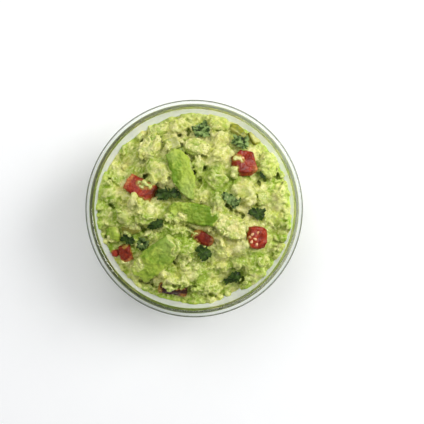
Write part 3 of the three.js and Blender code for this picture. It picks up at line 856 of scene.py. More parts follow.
def press_on_glass(mesh, levels):
    """Presses the side and bottom of the mash flat on the glass, just into it."""
    points, normals = points_of(mesh), normals_of(mesh)
    scale = wall_fit(points)
    below = ease(level_at(points, levels) + 0.3 * MM - points[:, 2], 0, 1.2 * MM)
    facing = ease(wall_facing(points, normals), 0.1, 0.45)
    near = 1 - ease((scale - 1) * INNER_TOP, *PRESS_REACH)
    arms = points - MIDDLE
    target = scale + PRESS_INTO_GLASS / np.linalg.norm(arms, axis=1)
    share = np.where(scale < 1, 1, blurred(mesh, below * facing * near, 6))
    move_points(mesh, MIDDLE + arms * (1 + (target - 1) * share)[:, None])


def top_share(points):
    """1 on the heap's open top, 0 where the mash lies against the glass."""
    away = (wall_fit(points) - 1) * INNER_TOP
    return ease(away, *TOP_MARGIN) * ease(points[:, 2], *TOP_LEVELS)


# ---- measures on the surface ------------------------------------------------------------------

def distance_to(tree, points, limit):
    """Distance of each point to the nearest surface in the tree, up to a limit."""
    far = np.full(len(points), limit)
    for number, point in enumerate(points):
        found = tree.find_nearest(Vector(point), limit)
        if found[0] is not None:
            far[number] = found[3]
    return far


def within(tree, points, reach):
    """Which of the points lie nearer to the surface in the tree than this."""
    return distance_to(tree, points, reach) < reach


def soft_noise(points, size, seed):
    """Smooth noise between about -1 and 1, made of waves in random directions."""
    random = np.random.default_rng(seed)
    total = np.zeros(len(points))
    for _ in range(14):
        direction = random.normal(size=3)
        direction *= 2 * math.pi / (size * np.linalg.norm(direction) * random.uniform(0.7, 1.6))
        total += np.sin(points @ direction + random.uniform(0, 2 * math.pi))
    return total / 3.2  # so that it seldom passes 1


def openness_of(mesh, rays=10, reach=9 * MM, kinds=64):
    """Share of the sky that each vertex sees, 0 in a deep cleft and 1 on a peak."""
    tree = tree_of(mesh)
    points, normals = points_of(mesh), normals_of(mesh)
    random = np.random.default_rng(5)
    directions = random.normal(size=(kinds, 3))
    directions /= np.linalg.norm(directions, axis=1)[:, None]
    seen = np.ones(len(points))
    for number in np.flatnonzero(top_share(points) > 0):
        normal = normals[number]
        start = Vector(points[number] + normal * 0.05 * MM)
        free = 0
        for ray in range(rays):
            direction = directions[(number * 7 + ray) % kinds]
            direction = direction if direction @ normal > 0 else -direction
            free += tree.ray_cast(start, Vector(direction + normal * 0.3), reach)[0] is None
        seen[number] = free / rays
    return seen


def blurred(mesh, values, rounds):
    """The values averaged over each vertex's neighbours, a number of times."""
    edges = np.empty(len(mesh.edges) * 2, dtype=np.int64)
    mesh.edges.foreach_get("vertices", edges)
    first, second = edges.reshape(-1, 2).T
    size = len(values)
    count = np.maximum(np.bincount(np.concatenate([first, second]), minlength=size), 1)
    for _ in range(rounds):
        total = np.bincount(first, values[second], size) + np.bincount(second, values[first], size)
        values = 0.5 * values + 0.5 * total / count
    return values


def hollows_of(mesh, rounds, depth):
    """1 in small hollows and -1 on small crests, from how deep a vertex lies in its surroundings."""
    points, normals = points_of(mesh), normals_of(mesh)
    around = np.stack([blurred(mesh, points[:, axis], rounds) for axis in range(3)], axis=1)
    return np.clip(((around - points) * normals).sum(axis=1) / depth, -1, 1)


def spots_at(points, spots):
    """The sum of soft round spots, one number for each point."""
    total = np.zeros(len(points))
    for x, y, radius, strength in spots:
        away = np.hypot(points[:, 0] - x * MM, points[:, 1] - y * MM)
        total += strength * np.exp(-((away / (radius * MM)) ** 2))
    return total


def nearest_values(mesh, source, name):
    """For each vertex of the mesh, the named value at the source's nearest vertex."""
    values = stored(source, name)
    finder = KDTree(len(source.vertices))
    for number, point in enumerate(points_of(source)):
        finder.insert(point, number)
    finder.balance()
    return np.array([values[finder.find(point)[1]] for point in points_of(mesh)])


# ---- places on the top of the food, in millimetres --------------------------------------------

# Places [x, y, radius, shift] where the mash is greener (+) or paler (-).
TONE_SPOTS = [
    (-12, -17, 9, 0.35), (-4, -22, 8, 0.35), (-28, 25, 7, 0.25), (7, 20, 8, 0.3), (12, 8, 8, 0.25),
    (-42, -6, 8, 0.25), (38, -28, 9, 0.25), (26, -31, 8, 0.25), (-34, -14, 7, 0.3), (-10, -47, 14, 0.4),
    (20, -10, 12, -0.35), (1, 34, 10, -0.3), (-24, 34, 9, -0.35), (16, 30, 9, -0.2), (-39, 22, 9, -0.2),
    (-16, 14, 6, -0.35), (-5, -33, 9, -0.25), (-4, 48, 9, -0.2), (14, 47, 9, -0.25), (-35, 0, 9, -0.15),
    (42, 20, 9, 0.1), (2, 3, 7, -0.2), (-18, -38, 7, -0.3), (24, -19, 8, -0.2), (-40, -16, 6, 0.2),
    (0, -38, 8, 0.15), (20, 12, 9, 0.15), (-48, 2, 6, 0.3), (-48, 14, 6, 0.25), (-38, 34, 6, 0.25),
    (45, -12, 8, 0.15),
]

# Places [x, y, radius, strength] where chopped leaf shows through a film of mash.
HERB_SPOTS = [
    (20, 4, 4.5, 0.75), (14, 7, 3.5, 0.5), (6.5, 22.5, 2.2, 0.8), (11.5, 24, 2, 0.7), (-46, 1, 2, 0.8),
    (20, -43, 4, 0.45), (-20, -9, 3, 0.6), (-25, -44, 4, 0.5), (32, -24, 3, 0.4), (38, 17, 3, 0.4),
    (-35, -15, 3, 0.4), (-46, 4, 2.5, 0.5), (24, -34, 2.5, 0.4),
]

# Places [x, y, radius, share] where mash lies over a leaf.
FILMED_SPOTS = [(20.4, 5, 6, 0.9)]

# Deep holes between the lumps [x, y, radius].
HOLES = [
    (-10.8, -29.8, 2.2), (-9.5, -28, 1.2), (-24, -40.5, 1.8), (-20, -42.6, 1.4), (7, -31, 1.3),
    (-3, 42.5, 1.6), (-8.5, 41, 1.1), (3.4, 15.6, 1.4), (6, 22.5, 1.3), (-46, 1, 1.6),
    (-18, -7, 1.6), (-30, -11, 1.4), (10, -18, 1.2), (-21.6, 10.6, 1.6), (-26.4, 17.8, 1.2),
    (-2.4, -14.2, 1.8), (12.6, -19.2, 1.7), (1.6, -13.6, 1.0), (-20.4, 9.4, 1.4),
]

# Clefts between the lumps, each the corners of its line.
CLEFTS = [
    [(-6, 34), (-1, 28), (-2, 24), (0, 18), (2.5, 13)],
    [(-17, -7), (-12, -9), (-5, -9.5), (2, -13)],
    [(18, 2), (22, -2), (27, -4)],
    [(-27, 18), (-24, 12), (-22, 7)],
    [(-30, -40), (-22, -43), (-14, -42), (-5, -45)],
    [(33, 12), (37, 15), (40, 19)],
    [(-33, -10), (-28, -12), (-23, -10)],
]

# Lumps of mash [x, y, radius] that lie partly over a piece.
COVERS = [
    (-25.2, 14.6, 3.2), (-22.2, 16, 2.2), (-33.6, 5.2, 3.0), (-38, 6.4, 2.4), (-29.4, 4.2, 2.2),
    (2.2, 23.4, 2.8), (2.6, 19.2, 1.8), (22, 20.5, 2.4), (-12, -40.4, 3.0), (-5.6, -41.4, 2.4),
    (22.4, 28.4, 1.6), (-14, -41.4, 3.6), (-7.6, -42.4, 3.2), (-19, -42, 2.6),
    (15.4, -20.4, 2.0), (28.4, -20.5, 2.6), (31, -9.5, 2.2), (-14.5, 3, 2.4),
    (-10, 4.5, 2.2), (-14, -5, 2.2), (12.5, 3, 2.4), (7, 5, 2.0), (-30, -19, 2.8), (-9, -19, 2.6),
    (-9.5, -22.5, 2.4), (-31, -33, 2.2), (-17, -36.5, 2.6), (-14.5, 33, 2.0), (-14, 20, 1.8),
    (-12.5, 14, 2.0), (-3.5, 31.5, 1.6), (-20, 39, 2.2), (-29, 30, 2.4),
    (-19, 31, 2.0), (14, -4, 2.6), (26, -14, 2.4), (17, -17, 2.4), (8, 43.5, 2.2), (18, 45.5, 1.6),
    (-5, 36, 1.8), (8, 31, 2.2), (43, 17, 2.4), (37, 29, 2.2), (-42, -10, 1.8), (-41, -17.5, 1.8),
    (26, 38.5, 1.6), (-11, 41, 1.8), (-15, 34.5, 1.6), (-31, -7, 1.8), (33, 8, 1.8),
]

# Places [x, y, radius, share] where the mash is smeared smooth; elsewhere it lies in crumbs.
SMOOTH_SPOTS = [
    (-19, 22, 9, 0.9), (14, 14, 11, 1.0), (24, 10, 9, 0.8), (20, 28, 9, 0.9), (24, -10, 10, 0.9),
    (40, 2, 10, 0.8), (-8, -12, 8, 0.7), (14, -28, 8, 0.6), (-30, 36, 8, 0.8), (5, 24, 8, 0.6),
    (0, 48, 9, 0.7), (44, 22, 8, 0.9), (30, -33, 9, 0.7), (-28, -34, 8, 0.7), (-42, -6, 7, 0.6),
]


# ---- the mash ---------------------------------------------------------------------------------

HOLE_DEPTH = 3.4  # millimetres, as are the next three
CLEFT_DEPTH = 3.2
CLEFT_RADIUS = 0.9
WANDER = 0.6
COVER_SHAPE = (1.15, 0.85, 0.62)  # half length, half width and half height for a radius of 1
COVER_SINK = 0.15
EDGE_LUMP_SIZES = (1.3, 3.0)  # millimetres
EDGE_LUMP_LEVELS = (-1.6, 1.2)  # millimetres over the height where the heap meets the glass
SMEARED_ABOVE = 38 * MM  # the height under which no piece shows, so none is smeared there


def crumbly_share(points):
    """1 where the mash lies in crumbs and 0 where it is smeared smooth."""
    patches = ease(soft_noise(points, 15 * MM, 3), -0.9, 0.2)
    return np.clip(patches * (1 - np.clip(spots_at(points, SMOOTH_SPOTS), 0, 1)), 0, 1)


def ball_for_lump(work, unevenness, seed):
    """A new ball of radius 1: its vertices, each with its place and its own uneven scale."""
    made = bmesh.ops.create_icosphere(work, subdivisions=3, radius=1.0)["verts"]
    places = np.array([vertex.co for vertex in made])
    return list(zip(made, places, 1 + unevenness * soft_noise(places, 1.4, seed)))


def store_lump_tones(mesh, tones):
    """Gives each lump of equal size its own tone."""
    store(mesh, "tone", np.repeat(tones, len(mesh.vertices) // len(tones)))


def top_at(food, x, y):
    """Place and normal of the food's top at x and y in millimetres."""
    return food.ray_cast(Vector((x * MM, y * MM, ABOVE_ALL)), Vector((0, 0, -1)))[:2]


def cover_lumps(food):
    """Torn lumps of mash set on the top of the food at their places."""
    work = bmesh.new()
    for number, (x, y, radius) in enumerate(COVERS):
        size = radius * MM
        middle = top_at(food, x, y)[0].z - COVER_SINK * size
        turn = number * 2.4
        for vertex, place, share in ball_for_lump(work, 0.22, 100 + number):
            along = place[0] * COVER_SHAPE[0] * share * size
            across = place[1] * COVER_SHAPE[1] * share * size
            vertex.co = (x * MM + along * math.cos(turn) - across * math.sin(turn),
                         y * MM + along * math.sin(turn) + across * math.cos(turn),
                         middle + place[2] * COVER_SHAPE[2] * share * size)
    mesh = finished(work, "covers")
    store_lump_tones(mesh, np.random.default_rng(6).uniform(0.1, 0.7, len(COVERS)))
    return mesh


def edge_lumps(levels, clean, count=84):
    """Lumps of mash stuck to the glass where the heap meets it, which break up its edge."""
    random = np.random.default_rng(12)
    work = bmesh.new()
    made = 0
    for number in range(count):
        turn = 2 * math.pi * (number + random.uniform(-0.5, 0.5)) / count
        size = random.uniform(*EDGE_LUMP_SIZES) * MM
        level = level_at(np.array([[math.cos(turn), math.sin(turn), 0]]), levels)[0]
        height = level + random.uniform(*EDGE_LUMP_LEVELS) * MM
        reach = inner_radius(height) - 0.55 * size
        middle = Vector((reach * math.cos(turn), reach * math.sin(turn), height))
        if clean.find_nearest(middle, size + 1.5 * MM)[0] is None:
            made += 1
            for vertex, place, share in ball_for_lump(work, 0.25, 300 + number):
                vertex.co = middle + Vector((place[0], place[1], place[2] * 0.8)) * (share * size)
    mesh = finished(work, "edge lumps")
    store_lump_tones(mesh, random.uniform(0.2, 0.9, made))
    return mesh


def sink_at(points):
    """How many millimetres the top sinks at each point, in the deep holes and along the clefts."""
    wander = np.stack([soft_noise(points, 3 * MM, 31), soft_noise(points, 3 * MM, 32)], axis=1)
    flat = points[:, :2] / MM + WANDER * wander
    sink = np.zeros(len(points))
    for x, y, radius in HOLES:
        away = np.hypot(flat[:, 0] - x, flat[:, 1] - y)
        sink = np.maximum(sink, HOLE_DEPTH * np.exp(-((away / radius) ** 2)))
    for line in CLEFTS:
        for start, end in zip(line, line[1:]):
            start, end = np.array(start), np.array(end)
            run = end - start
            share = np.clip(((flat - start) @ run) / (run @ run), 0, 1)
            away = np.linalg.norm(flat - start - share[:, None] * run, axis=1)
            sink = np.maximum(sink, CLEFT_DEPTH * np.exp(-((away / CLEFT_RADIUS) ** 2)))
    return sink


def sink_clefts(mesh):
    """Sinks the open top at its deep holes and along its clefts."""
    points = points_of(mesh)
    points[:, 2] -= sink_at(points) * MM * top_share(points)
    move_points(mesh, points)


# What each step scatters or raises.
CURDS = {
    "Spacing": 4.8 * MM, "Smallest": 1.6 * MM, "Largest": 4.4 * MM, "Flatness": 0.5,
    "Sink": 0.3, "Unevenness": 0.7, "Detail": 3, "Seed": 11,
}
CRUMBS = {
    "Spacing": 2.0 * MM, "Smallest": 0.55 * MM, "Largest": 1.5 * MM, "Flatness": 0.8,
    "Sink": 0.1, "Unevenness": 0.5, "Detail": 2, "Seed": 23,
}
SMEARS = {
    "Spacing": 1.3 * MM, "Smallest": 0.8 * MM, "Largest": 1.9 * MM, "Flatness": 0.42,
    "Sink": 0.12, "Unevenness": 0.8, "Detail": 2, "Seed": 37,
}
FLECKS = {
    "Spacing": 1.5 * MM, "Smallest": 0.5 * MM, "Largest": 1.4 * MM, "Flatness": 0.6,
    "Sink": 0.0, "Unevenness": 0.5, "Detail": 2, "Seed": 41,
}
LOOSE_CRUMBS = {
    "Spacing": 1.35 * MM, "Smallest": 0.28 * MM, "Largest": 0.72 * MM, "Flatness": 0.75,
    "Sink": 0.25, "Unevenness": 0.5, "Detail": 1, "Seed": 51,
}
SMEARED_RELIEF = {
    "Curd Size": 6.5 * MM, "Curd Depth": 0.8 * MM, "Fold Size": 9 * MM, "Fold Depth": 1.0 * MM,
    "Tear Size": 5.0 * MM, "Tear Depth": 0.9 * MM, "Grain Size": 2.2 * MM, "Grain Depth": 0.5 * MM,
    "Fibre": (0.8, -0.6, 0), "Fibre Stretch": 0.65,
}
CRUMBLY_RELIEF = {
    "Curd Size": 4.4 * MM, "Curd Depth": 0.8 * MM, "Fold Size": 8 * MM, "Fold Depth": 0.6 * MM,
    "Tear Size": 3.4 * MM, "Tear Depth": 0.9 * MM, "Grain Size": 1.6 * MM, "Grain Depth": 0.2 * MM,
}
FINE_RELIEF = {
    "Curd Size": 2.0 * MM, "Curd Depth": 0.42 * MM, "Fold Size": 3.6 * MM, "Fold Depth": 0.14 * MM,
    "Grain Size": 1.0 * MM, "Grain Depth": 0.34 * MM,
}


def with_lumps(heap, solid, levels, meshes, trees):
    """The heap with curds, lumps over the pieces and lumps on the glass laid on, not yet fused."""
    points = points_of(heap)
    soft = within(trees["soft"], points, 2.6 * MM)
    slabs = within(trees["slabs"], points, 2.6 * MM) & (soft_noise(points, 8 * MM, 14) > 0.1)
    clear = ~within(trees["pieces"], points, 1.1 * MM) | soft | slabs
    bare = ~within(trees["leaves"], points, 1.6 * MM)
    store(heap, "loose", top_share(points) * (0.04 + 0.96 * crumbly_share(points)) * clear * bare)
    curds = run_tree(heap.copy(), SCATTER, CURDS)
    store(heap, "tone", 0.5 + 0.3 * soft_noise(points, 7 * MM, 9))
    covers = cover_lumps(tree_of(join_meshes([solid, meshes["pieces"]])))
    return join_meshes([heap, curds, covers, edge_lumps(levels, trees["clean"])])


def torn_surface(heap):
    """The heap sunk at its clefts, then torn: smeared smooth in places and crumbly in the rest."""
    sink_clefts(heap)
    crumbly = crumbly_share(points_of(heap))
    store(heap, "loose", top_share(points_of(heap)) * (1 - crumbly))
    heap = run_tree(heap, RELIEF, SMEARED_RELIEF)
    store(heap, "loose", top_share(points_of(heap)) * crumbly)
    return run_tree(heap, RELIEF, CRUMBLY_RELIEF)


def crumbs_on(heap, trees):
    """Crumbs on the open top, away from the pieces, the leaves and the holes."""
    points = points_of(heap)
    clear = ~within(trees["pieces"], points, 0.6 * MM) & ~within(trees["leaves"], points, 1.0 * MM)
    clear = clear * (1 - ease(sink_at(points), 0.6, 1.6))
    scattered = ease(soft_noise(points, 5 * MM, 4), 0.1, 1.0)
    store(heap, "loose", top_share(points) * scattered * (0.05 + crumbly_share(points)) * clear)
    return run_tree(heap.copy(), SCATTER, CRUMBS)


def smears_on(pieces, heap, trees):
    """Smears of mash on the sides of the pieces, most on the soft ones and few on the clean ones."""
    points = points_of(pieces)
    beside = 1 - ease(distance_to(heap, points, 4 * MM), 0.9 * MM, 2.0 * MM)
    patchy = ease(soft_noise(points, 6 * MM, 6), -0.3, 0.4)
    patchy *= 1 - 0.8 * within(trees["clean"], points, MM)
    coated = 0.55 * within(trees["soft"], points, MM)
    store(pieces, "loose", np.maximum(beside * patchy, coated) * (points[:, 2] > SMEARED_ABOVE))
    return run_tree(pieces.copy(), SCATTER, SMEARS)


def flecks_on(leaves, heap):
    """Flecks of mash that lie on the leaves and hide parts of them."""
    points = points_of(leaves)
    covered = ease(soft_noise(points, 5 * MM, 7), -0.1, 0.5)
    covered = np.clip(covered + spots_at(points, FILMED_SPOTS), 0, 1)
    covered *= 1 - ease(distance_to(heap, points, 4 * MM), 0.8 * MM, 1.8 * MM)
    store(leaves, "loose", covered)
    return run_tree(leaves.copy(), SCATTER, FLECKS)


def creep_onto(mesh, pieces, reach=1.7 * MM):
    """Draws the mash beside a piece in until it touches the piece's side."""
    points = points_of(mesh)
    for number in np.flatnonzero(top_share(points) > 0):
        place = Vector(points[number])
        nearest, normal, _, away = pieces.find_nearest(place, reach)
        if nearest is not None and away > 0:
            sideways = float(1 - ease(abs(normal.z), 0.35, 0.7))
            shift = min(away, 0.75 * (reach - away)) * sideways
            points[number] += np.array(nearest - place) * (shift / away)
    move_points(mesh, points)


def store_looks(mash, full, toned):
    """Keeps what the mash material reads: openness and hollows for its painted shade and painted crest
    light, zones, herb stains and tones.
    """
    points = points_of(mash)
    store(mash, "openness", blurred(mash, openness_of(mash), 1))
    store(mash, "hollow", nearest_values(mash, full, "hollow") * top_share(points))
    store(mash, "zone", spots_at(points, TONE_SPOTS))
    herb = spots_at(points, HERB_SPOTS) * ease(soft_noise(points, 2.5 * MM, 8), -0.7, 0.6)
    store(mash, "herb", np.clip(herb, 0, 0.85))
    store(mash, "tone", blurred(mash, nearest_values(mash, toned, "tone"), 2))


def loose_crumbs(mash, material, trees):
    """Small crumbs that lie loose on the mash."""
    bed = mash.copy()
    points = points_of(bed)
    clear = ~within(trees["pieces"], points, 0.5 * MM) & ~within(trees["leaves"], points, 0.8 * MM)
    patchy = ease(soft_noise(points, 6 * MM, 15), -0.6, 0.8) * (0.15 + 0.85 * crumbly_share(points))
    open_places = ease(stored(bed, "openness"), 0.3, 0.7)
    store(bed, "loose", top_share(points) * patchy * clear * open_places)
    crumbs = run_tree(bed, SCATTER, {**LOOSE_CRUMBS, "Material": material})
    points = points_of(crumbs)
    # Painted shade from the mash's openness, and a painted crest light on every crumb from its fixed
    # hollow value.
    store(crumbs, "openness", nearest_values(crumbs, mash, "openness"))
    store(crumbs, "hollow", np.full(len(points), -0.35))
    store(crumbs, "zone", spots_at(points, TONE_SPOTS))
    store(crumbs, "herb", np.zeros(len(points)))
    make_piece("mash_crumbs", crumbs, material, [])


def make_mash(material, meshes, trees):
    """The heap: its solid with curds and crumbs fused on, pressed against the glass."""
    solid = solid_copy("mash")
    levels = contact_levels(solid)
    toned = with_lumps(remeshed(solid, COARSE, 2), solid, levels, meshes, trees)
    heap = torn_surface(remeshed(toned, MEDIUM))
    crumbs = crumbs_on(heap, trees)
    surface = tree_of(heap)
    smears = smears_on(meshes["pieces"], surface, trees)
    flecks = flecks_on(meshes["leaves"], surface)
    heap = remeshed(join_meshes([heap, crumbs, smears, flecks]), FINE, 1)
    points = points_of(heap)
    store(heap, "loose", top_share(points) * (0.5 + 0.5 * crumbly_share(points)))
    heap = run_tree(heap, RELIEF, {**FINE_RELIEF, "Material": material})
    creep_onto(heap, trees["pieces"])
    store(heap, "hollow", hollows_of(heap, 12, 0.26 * MM))
    press_on_glass(heap, levels)
    ratio = min(1.0, MOST_TRIANGLES / (2 * len(heap.polygons)))
    mash = shaped(heap.copy(), ("DECIMATE", {"ratio": ratio}))
    press_on_glass(mash, levels)
    store_looks(mash, heap, toned)
    loose_crumbs(mash, material, trees)
    return make_piece("guacamole_mash", mash, material, ["mash"])


# ---- cut pieces -------------------------------------------------------------------------------

def main_axes(points):
    """Middle of a cloud of points and its axes, longest first, as rows."""
    middle = points.mean(axis=0)
    _, _, axes = np.linalg.svd(points - middle, full_matrices=False)
    if axes[2][2] < 0:
        axes[2] *= -1
    axes[0] = np.cross(axes[1], axes[2])
    return middle, axes


def outward_share(points, middle, direction):
    """0 at one side of the piece and 1 at the other, along a direction."""
    along = (points - middle) @ np.array(direction)
    return (along - along.min()) / (along.max() - along.min())


# How much lighter (-1) or darker (1) than its kind a piece is: mostly its own tone, but for tomato_7,
# and partly tomato_3, painted shade under the mash that overhangs it.
SHADES = {
    "avocado_1": 0.05, "avocado_2": 0.2, "avocado_3": -0.05, "avocado_4": -0.7,
    "avocado_5": -0.35, "avocado_6": 0.15, "avocado_7": 0.1, "avocado_8": -0.05,
    "avocado_9": -0.1, "avocado_10": -0.1, "tomato_1": 0.1, "tomato_3": 0.4,
    "tomato_5": 0.35, "tomato_7": 1.0, "onion_2": 1.0,
}

# Places [x, y, radius, change] where a piece is lighter or darker than the rest of it: mostly its own
# tone, but the dark spots at the right end of tomato_2 and at both ends of tomato_3 are painted shade.
SHADE_SPOTS = [
    (-21.5, 9, 3.5, 1.0), (-5, 5, 5, -0.4), (4, 4.5, 4, -0.5), (-1, -3, 5, 0.3), (-12, -4, 4, -0.4),
    (4, -4, 6, 0.2), (-12, 29, 4, -0.3), (-9, 21, 5, 0.05), (-3, 12, 5, -0.3), (-14, -21, 6, -0.25),
    (-28, -35, 6, 0.4), (0, -14.5, 3, 0.5), (10.5, -18.5, 2.5, 0.6), (24, 22, 3, 0.4),
]

# Direction [x, y] to the greener side of an avocado piece, or to the skin of a tomato piece.
SIDES = {
    "avocado_1": (-0.9, -0.4), "avocado_2": (0.3, 0.2), "avocado_3": (0.6, 0.5),
    "tomato_1": (0.95, -0.3), "tomato_2": (-0.7, 0.7), "tomato_3": (0.9, -0.4),
    "tomato_4": (-0.9, -0.4), "tomato_5": (0.4, -0.9), "tomato_6": (-0.7, -0.7),
    "tomato_7": (0.1, -1),
}

SWELL = 0.3 * MM  # how much fuller a piece is than its solid, to fill its hollow in the mash
FIBRE_SQUEEZE = 0.2  # the fibres' pattern is drawn out to five times its length

AVOCADO_RELIEF = {
    "Curd Size": 8 * MM, "Curd Depth": 1.5 * MM, "Tear Size": 4.5 * MM, "Tear Depth": 1.0 * MM,
    "Grain Size": 1.3 * MM, "Grain Depth": 0.34 * MM, "Fibre Stretch": 0.8,
}
SOFT_RELIEF = {
    "Curd Size": 6.5 * MM, "Curd Depth": 1.6 * MM, "Tear Size": 4.4 * MM, "Tear Depth": 0.9 * MM,
    "Grain Size": 1.8 * MM, "Grain Depth": 0.12 * MM,
}
TOMATO_RELIEF = {
    "Curd Size": 5 * MM, "Curd Depth": 0.6 * MM, "Tear Size": 3 * MM, "Tear Depth": 0.4 * MM,
    "Grain Size": 1.1 * MM, "Grain Depth": 0.15 * MM,
}
ONION_RELIEF = {
    "Curd Size": 5 * MM, "Curd Depth": 0.4 * MM, "Tear Size": 3 * MM, "Tear Depth": 0.3 * MM,
    "Grain Size": 1.6 * MM, "Grain Depth": 0.1 * MM, "Fibre Stretch": 0.8,
}
SECOND_RELIEF = {
    "Curd Size": 2.2 * MM, "Curd Depth": 0.25 * MM, "Grain Size": 0.9 * MM,
    "Grain Depth": 0.16 * MM, "Fibre Stretch": 0.6,
}


def cut_piece(name, node, material, mash, relief):
    """A cut piece from its solid: worn uneven, filling its hollow in the mash, with its relief."""
    solid = solid_copy(node)
    middle, axes = main_axes(points_of(solid))
    mesh = remeshed(solid, FINE, 6)
    move_points(mesh, points_of(mesh) + normals_of(mesh) * SWELL)
    store(mesh, "loose", np.ones(len(mesh.vertices)))
    for step in (relief, SECOND_RELIEF):
        mesh = run_tree(mesh, RELIEF, {"Fibre": tuple(axes[0]), **step})
    points = points_of(mesh)
    side = (*SIDES[node], 0) if node in SIDES else axes[1]
    store(mesh, "ripe", outward_share(points, middle, side))
    # Tone of the piece, with painted shade in the pieces and spots under overhanging mash.
    store(mesh, "shade", np.clip(SHADES.get(node, 0) + spots_at(points, SHADE_SPOTS), -1, 1))
    local = (points - middle) @ axes.T
    local[:, 0] *= FIBRE_SQUEEZE
    store_vectors(mesh, "along", local)
    store(mesh, "buried", 1 - ease(distance_to(mash, points, 2 * MM), 0.2 * MM, 1.6 * MM))
    return make_piece(name, mesh, material, [node])


# Seeds [x, y, turn in degrees] on the cut faces of two tomato pieces, in millimetres.
SEEDS = [
    (32.2, -14.2, 20), (33.6, -16.8, 80), (31.8, -18.2, -30), (34.6, -19.8, 50), (35.4, -13.2, -60),
    (30.8, -15.8, 70), (26.8, 28.2, 40),
]


def tomato_seeds(tomatoes, material):
    """Flat seeds, pointed at one end, half sunk in the tomato they lie on."""
    work = bmesh.new()
    for x, y, turn in SEEDS:
        place, facing = top_at(tomatoes, x, y)
        made = bmesh.ops.create_icosphere(work, subdivisions=3, radius=MM)["verts"]
        for vertex in made:
            along, across, up = vertex.co
            vertex.co = (along * 1.1, across * (0.7 - 0.25 * along / MM), up * 0.4)
        laid = (Matrix.Translation(place) @ facing.to_track_quat("Z", "Y").to_matrix().to_4x4()
                @ Matrix.Rotation(math.radians(turn), 4, "Z"))
        bmesh.ops.transform(work, matrix=laid, verts=made)
    make_piece("tomato_seeds", finished(work, "seeds"), material, [])


# ---- leaves -----------------------------------------------------------------------------------

# How much of a leaf shows pale patches, partly its own paler colour and partly painted sheen.
FROST_AND_SHEEN = {"leaf_1": 1.0, "leaf_2": 1.0, "leaf_8": 0.5, "leaf_11": 0.7, "leaf_3": 0.15}

LEAF_THICKNESS = 0.35 * MM
LEAF_SEARCH = 8 * MM  # how far over and under a leaf's plane its solid is looked for
LEAF_SECTOR = 0.32  # angle to each side in which the reach of its solid is measured
LEAF_STEPS = 120  # corners round its edge
LEAF_RINGS = 12  # rings of corners from its middle to its edge
LEAF_ANGLES = np.linspace(0, 2 * math.pi, LEAF_STEPS, endpoint=False)

# Shares of a leaf's reach that its body, its lobes and its teeth take up.
LEAF_BODY = 0.74
LOBE_DEPTH = 0.2
TOOTH_DEPTH = 0.14
TEETH_IN_LOBE = 3
TOOTH_LENGTHS = (0.86, 1.08)


def leaf_outline(local, random):
    """Reach of a leaf's toothed edge at even angles, its number of lobes and where they start."""
    turn = np.arctan2(local[:, 1], local[:, 0])
    reach = np.hypot(local[:, 0], local[:, 1])
    outline = np.zeros(LEAF_STEPS)
    for number, angle in enumerate(LEAF_ANGLES):
        apart = np.abs((turn - angle + math.pi) % (2 * math.pi) - math.pi)
        near = apart < LEAF_SECTOR
        outline[number] = (reach * np.cos(apart))[near].max() if near.any() else reach.max() * 0.5
    lobes = 5 + random.integers(0, 2)
    phase = random.uniform(0, 2 * math.pi)
    wave = np.abs(np.sin(LEAF_ANGLES * lobes / 2 + phase))
    teeth = np.abs(np.sin(LEAF_ANGLES * lobes * TEETH_IN_LOBE / 2 + phase * TEETH_IN_LOBE)) ** 0.7
    tooth = (np.arange(LEAF_STEPS) * lobes * TEETH_IN_LOBE) // LEAF_STEPS
    ragged = random.uniform(*TOOTH_LENGTHS, lobes * TEETH_IN_LOBE)[tooth]
    shares = LEAF_BODY + LOBE_DEPTH * wave ** 0.6 + TOOTH_DEPTH * teeth
    return outline * (shares * ragged), lobes, phase


def middle_heights(flat, middle, axes, surface):
    """Height of the solid's middle layer at each place of a blade, or of the nearest that has one."""
    up = Vector(axes[2])
    height = np.zeros(len(flat))
    known = np.zeros(len(flat), dtype=bool)
    for number, (along, across, _) in enumerate(flat):
        place = Vector(middle + axes[0] * along + axes[1] * across)
        top = surface.ray_cast(place + up * LEAF_SEARCH, -up, 2 * LEAF_SEARCH)[0]
        bottom = surface.ray_cast(place - up * LEAF_SEARCH, up, 2 * LEAF_SEARCH)[0]
        if top is not None and bottom is not None:
            height[number] = ((top + bottom) / 2 - place).dot(up)
            known[number] = True
    finder = KDTree(int(known.sum()))
    for number in np.flatnonzero(known):
        finder.insert((flat[number, 0], flat[number, 1], 0), int(number))
    finder.balance()
    for number in np.flatnonzero(~known):
        height[number] = height[finder.find((flat[number, 0], flat[number, 1], 0))[1]]
    return height


def blade_mesh(flat, height, middle, axes):
    """The thin closed blade through these heights, thinner at its edge."""
    work = bmesh.new()
    layers = []
    for side in (0.5, -0.5):
        verts = []
        for (along, across, share), lift in zip(flat, height):
            edge = 1 - 0.7 * share ** 6
            place = middle + axes[0] * along + axes[1] * across + axes[2] * (
                lift + side * LEAF_THICKNESS * edge)
            verts.append(work.verts.new(place))
        layers.append(verts)
    top, bottom = layers
    for ring in range(LEAF_RINGS):
        for step in range(LEAF_STEPS):
            after = (step + 1) % LEAF_STEPS
            a, b = ring * LEAF_STEPS + step, ring * LEAF_STEPS + after
            c, d = (ring + 1) * LEAF_STEPS + after, (ring + 1) * LEAF_STEPS + step
            work.faces.new((top[a], top[d], top[c], top[b]))
            work.faces.new((bottom[a], bottom[b], bottom[c], bottom[d]))
    last = LEAF_RINGS * LEAF_STEPS
    for step in range(LEAF_STEPS):
        after = (step + 1) % LEAF_STEPS
        work.faces.new((top[last + step], bottom[last + step], bottom[last + after],
                        top[last + after]))
    return finished(work, "leaf")


